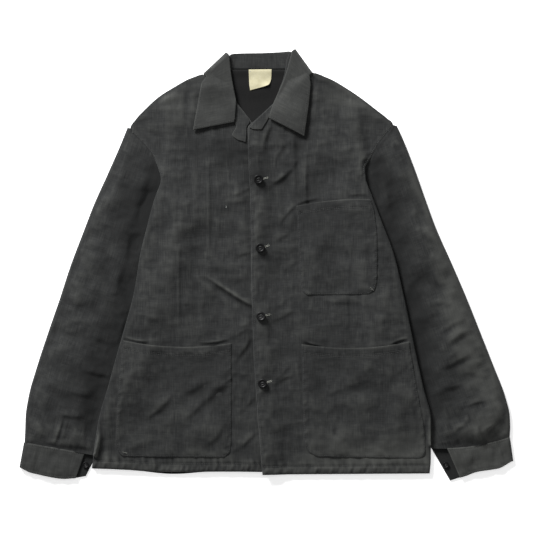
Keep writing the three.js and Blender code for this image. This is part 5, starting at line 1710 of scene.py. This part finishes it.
# The leaves are topstitched beside their lower and free edges
leaf_right_edge = np.vstack((
    edge_at(LEAF_RIGHT, "rx", "ry", np.linspace(0.3, 0, 4)) + (0, 3.5),
    edge_at(LEAF_RIGHT, "ex", "ey", np.linspace(0, 3.4, 20)) + (3.6, 3.4),
))
leaf_left_edge = np.vstack((
    edge_at(LEAF_LEFT, "rx", "ry", np.linspace(3.7, 4, 4)) + (0, 3.5),
    edge_at(LEAF_LEFT, "ex", "ey", np.linspace(4, 0.6, 20)) + (-3.8, 3.4),
))
sewing.append((fall_piece, [leaf_right_edge, leaf_left_edge]))
sew("seam_stitches", sewing, LOCKSTITCH, 0, 5, sewing_thread)

# Buttonholes: a slit with a round eye beside each front button, edged all round with close bars of paler
# thread that catch the light

# Waxed buttonhole twist, smoother than the other thread, paler partly by washing and partly as a painted
# highlight of the light it catches
pale_glinting_thread = plain_finish("pale_glinting_thread", "8b8c84", 0.5)[0]

# From the button to the eye
BUTTONHOLES = (
    ((-12, 148), (2, 151.5)),
    ((-9, 29), (4, 33)),
    ((-8, -90), (5.5, -87)),
    ((-5, -207), (8.5, -203)),
)
EYE_RADIUS = 1.5
SLIT_HALF = 0.9
EYE_NECK = 1.6
BUTTONHOLE_STITCH = (0.5, 1.3, 0.48)
edging = []
for start, end in BUTTONHOLES:
    start, end = np.array(start, float), np.array(end, float)
    along = (end - start) / np.hypot(*(end - start))
    across = np.array((-along[1], along[0]))
    eye = [end + EYE_RADIUS * (math.cos(a) * along + math.sin(a) * across)
           for a in np.radians(np.arange(-140, 141, 20))]
    side, neck = SLIT_HALF * across, end - EYE_NECK * along
    edging.append(np.vstack((start - side, neck - side, eye, neck + side, start + side)))
sew("buttonhole_stitches", [(front_left_piece, edging)], BUTTONHOLE_STITCH, 90, 7, pale_glinting_thread,
    lift=CLOSE_STITCH_LIFT)

# Bar tacks: short close stitches across a corner of two pockets, which hold it where a hand pulls. They are
# in a paler thread than the seams.

pale_tack_thread = plain_finish("pale_tack_thread", "6a6b66", 0.7)[0]

BAR_TACKS = {
    "cloth_pocket_hip_right": ((-251, -327), (-243, -329)),
    "cloth_pocket_chest": ((180, -40), (186, -45)),
}
BAR_TACK_STITCH = (0.7, 2.2, 0.5)
sewn_pieces = {piece.name: piece for piece, _ in sewing}
tacks = [(sewn_pieces[name], [np.linspace(*np.array(line, float), 6)]) for name, line in BAR_TACKS.items()]
sew("bar_tacks", tacks, BAR_TACK_STITCH, 80, 9, pale_tack_thread)

# Two loose bits on the cloth: a fleck of white lint on the right front, and the white end of a thread at the
# label's corner

# Cotton fluff, undyed and matt, which shows as a white speck
white_lint = plain_finish("white_lint", "c9ccc8", 0.9)[0]

FLECK = np.array(((-70.5, 101.5), (-69.5, 100.2), (-70.2, 99.0)))
FLECK_FIBRE = (0.7, 1.0, 0.5)
THREAD_END = np.array(((-31.4, 336.5), (-30.2, 337.6), (-28.4, 337.9), (-27.6, 336.6)))
THREAD_END_FIBRE = (0.6, 0.9, 0.6)
sew("lint_fleck", [(front_right_piece, [FLECK])], FLECK_FIBRE, 30, 11, white_lint)
sew("thread_end", [(label_piece, [THREAD_END])], THREAD_END_FIBRE, 0, 13, white_lint)

# Floor, light and camera: a plain pale surface under broad soft light from above and from beyond the collar,
# looked at straight down by a long lens

# Millimetres to a pixel at the cloth's level, the picture's width in pixels, its middle on the jacket, and
# the camera's height over the cloth
PIXEL = 1.742
IMAGE = 533
IMAGE_CENTRE = (0, -3.5)
CLOTH_LEVEL, VIEW_HEIGHT = 14, 3000
SENSOR = 36
FAR_CLIP = 50
# In metres
HALF_FLOOR = 6

floor_mesh = bpy.data.meshes.new("floor")
floor_corners = [(x * HALF_FLOOR, y * HALF_FLOOR, 0) for x, y in ((-1, -1), (1, -1), (1, 1), (-1, 1))]
floor_mesh.from_pydata(floor_corners, [], [(0, 1, 2, 3)])
floor = added("floor", floor_mesh)
# White board, matt. It glows faintly, as a light table does, so that the jacket's shadow hardly shows on it.
pale_board, board_shader, _ = plain_finish("pale_board", "f6f6f6", 0.9)
board_shader.inputs["Emission Color"].default_value = (1, 1, 1, 1)
board_shader.inputs["Emission Strength"].default_value = 0.5
floor_mesh.materials.append(pale_board)

world = bpy.data.worlds.new("studio")
bpy.context.scene.world = world
world.use_nodes = True
world.node_tree.nodes["Background"].inputs["Color"].default_value = (1, 1, 1, 1)
world.node_tree.nodes["Background"].inputs["Strength"].default_value = 0.22


def softbox(name, place, size, power):
    light = bpy.data.lights.new(name, "AREA")
    light.shape = "SQUARE"
    light.size = size
    light.energy = power
    lamp = added(name, light)
    lamp.location = place
    lamp.rotation_euler = (-Vector(place)).to_track_quat("-Z", "Y").to_euler()


# Place and size in metres, and power in watts
softbox("key", (-1.7, 2.9, 1.7), 1.1, 320)
softbox("top", (0.0, 0.4, 3.6), 2.4, 28)

camera_data = bpy.data.cameras.new("camera")
camera = added("camera", camera_data)
bpy.context.scene.camera = camera
camera.location = Vector((*(SHIFT + IMAGE_CENTRE), VIEW_HEIGHT + CLOTH_LEVEL)) / 1000
camera_data.sensor_width = SENSOR
camera_data.lens = SENSOR * VIEW_HEIGHT / (IMAGE * PIXEL)
camera_data.clip_end = FAR_CLIP
bpy.context.scene.view_settings.view_transform = "Standard"
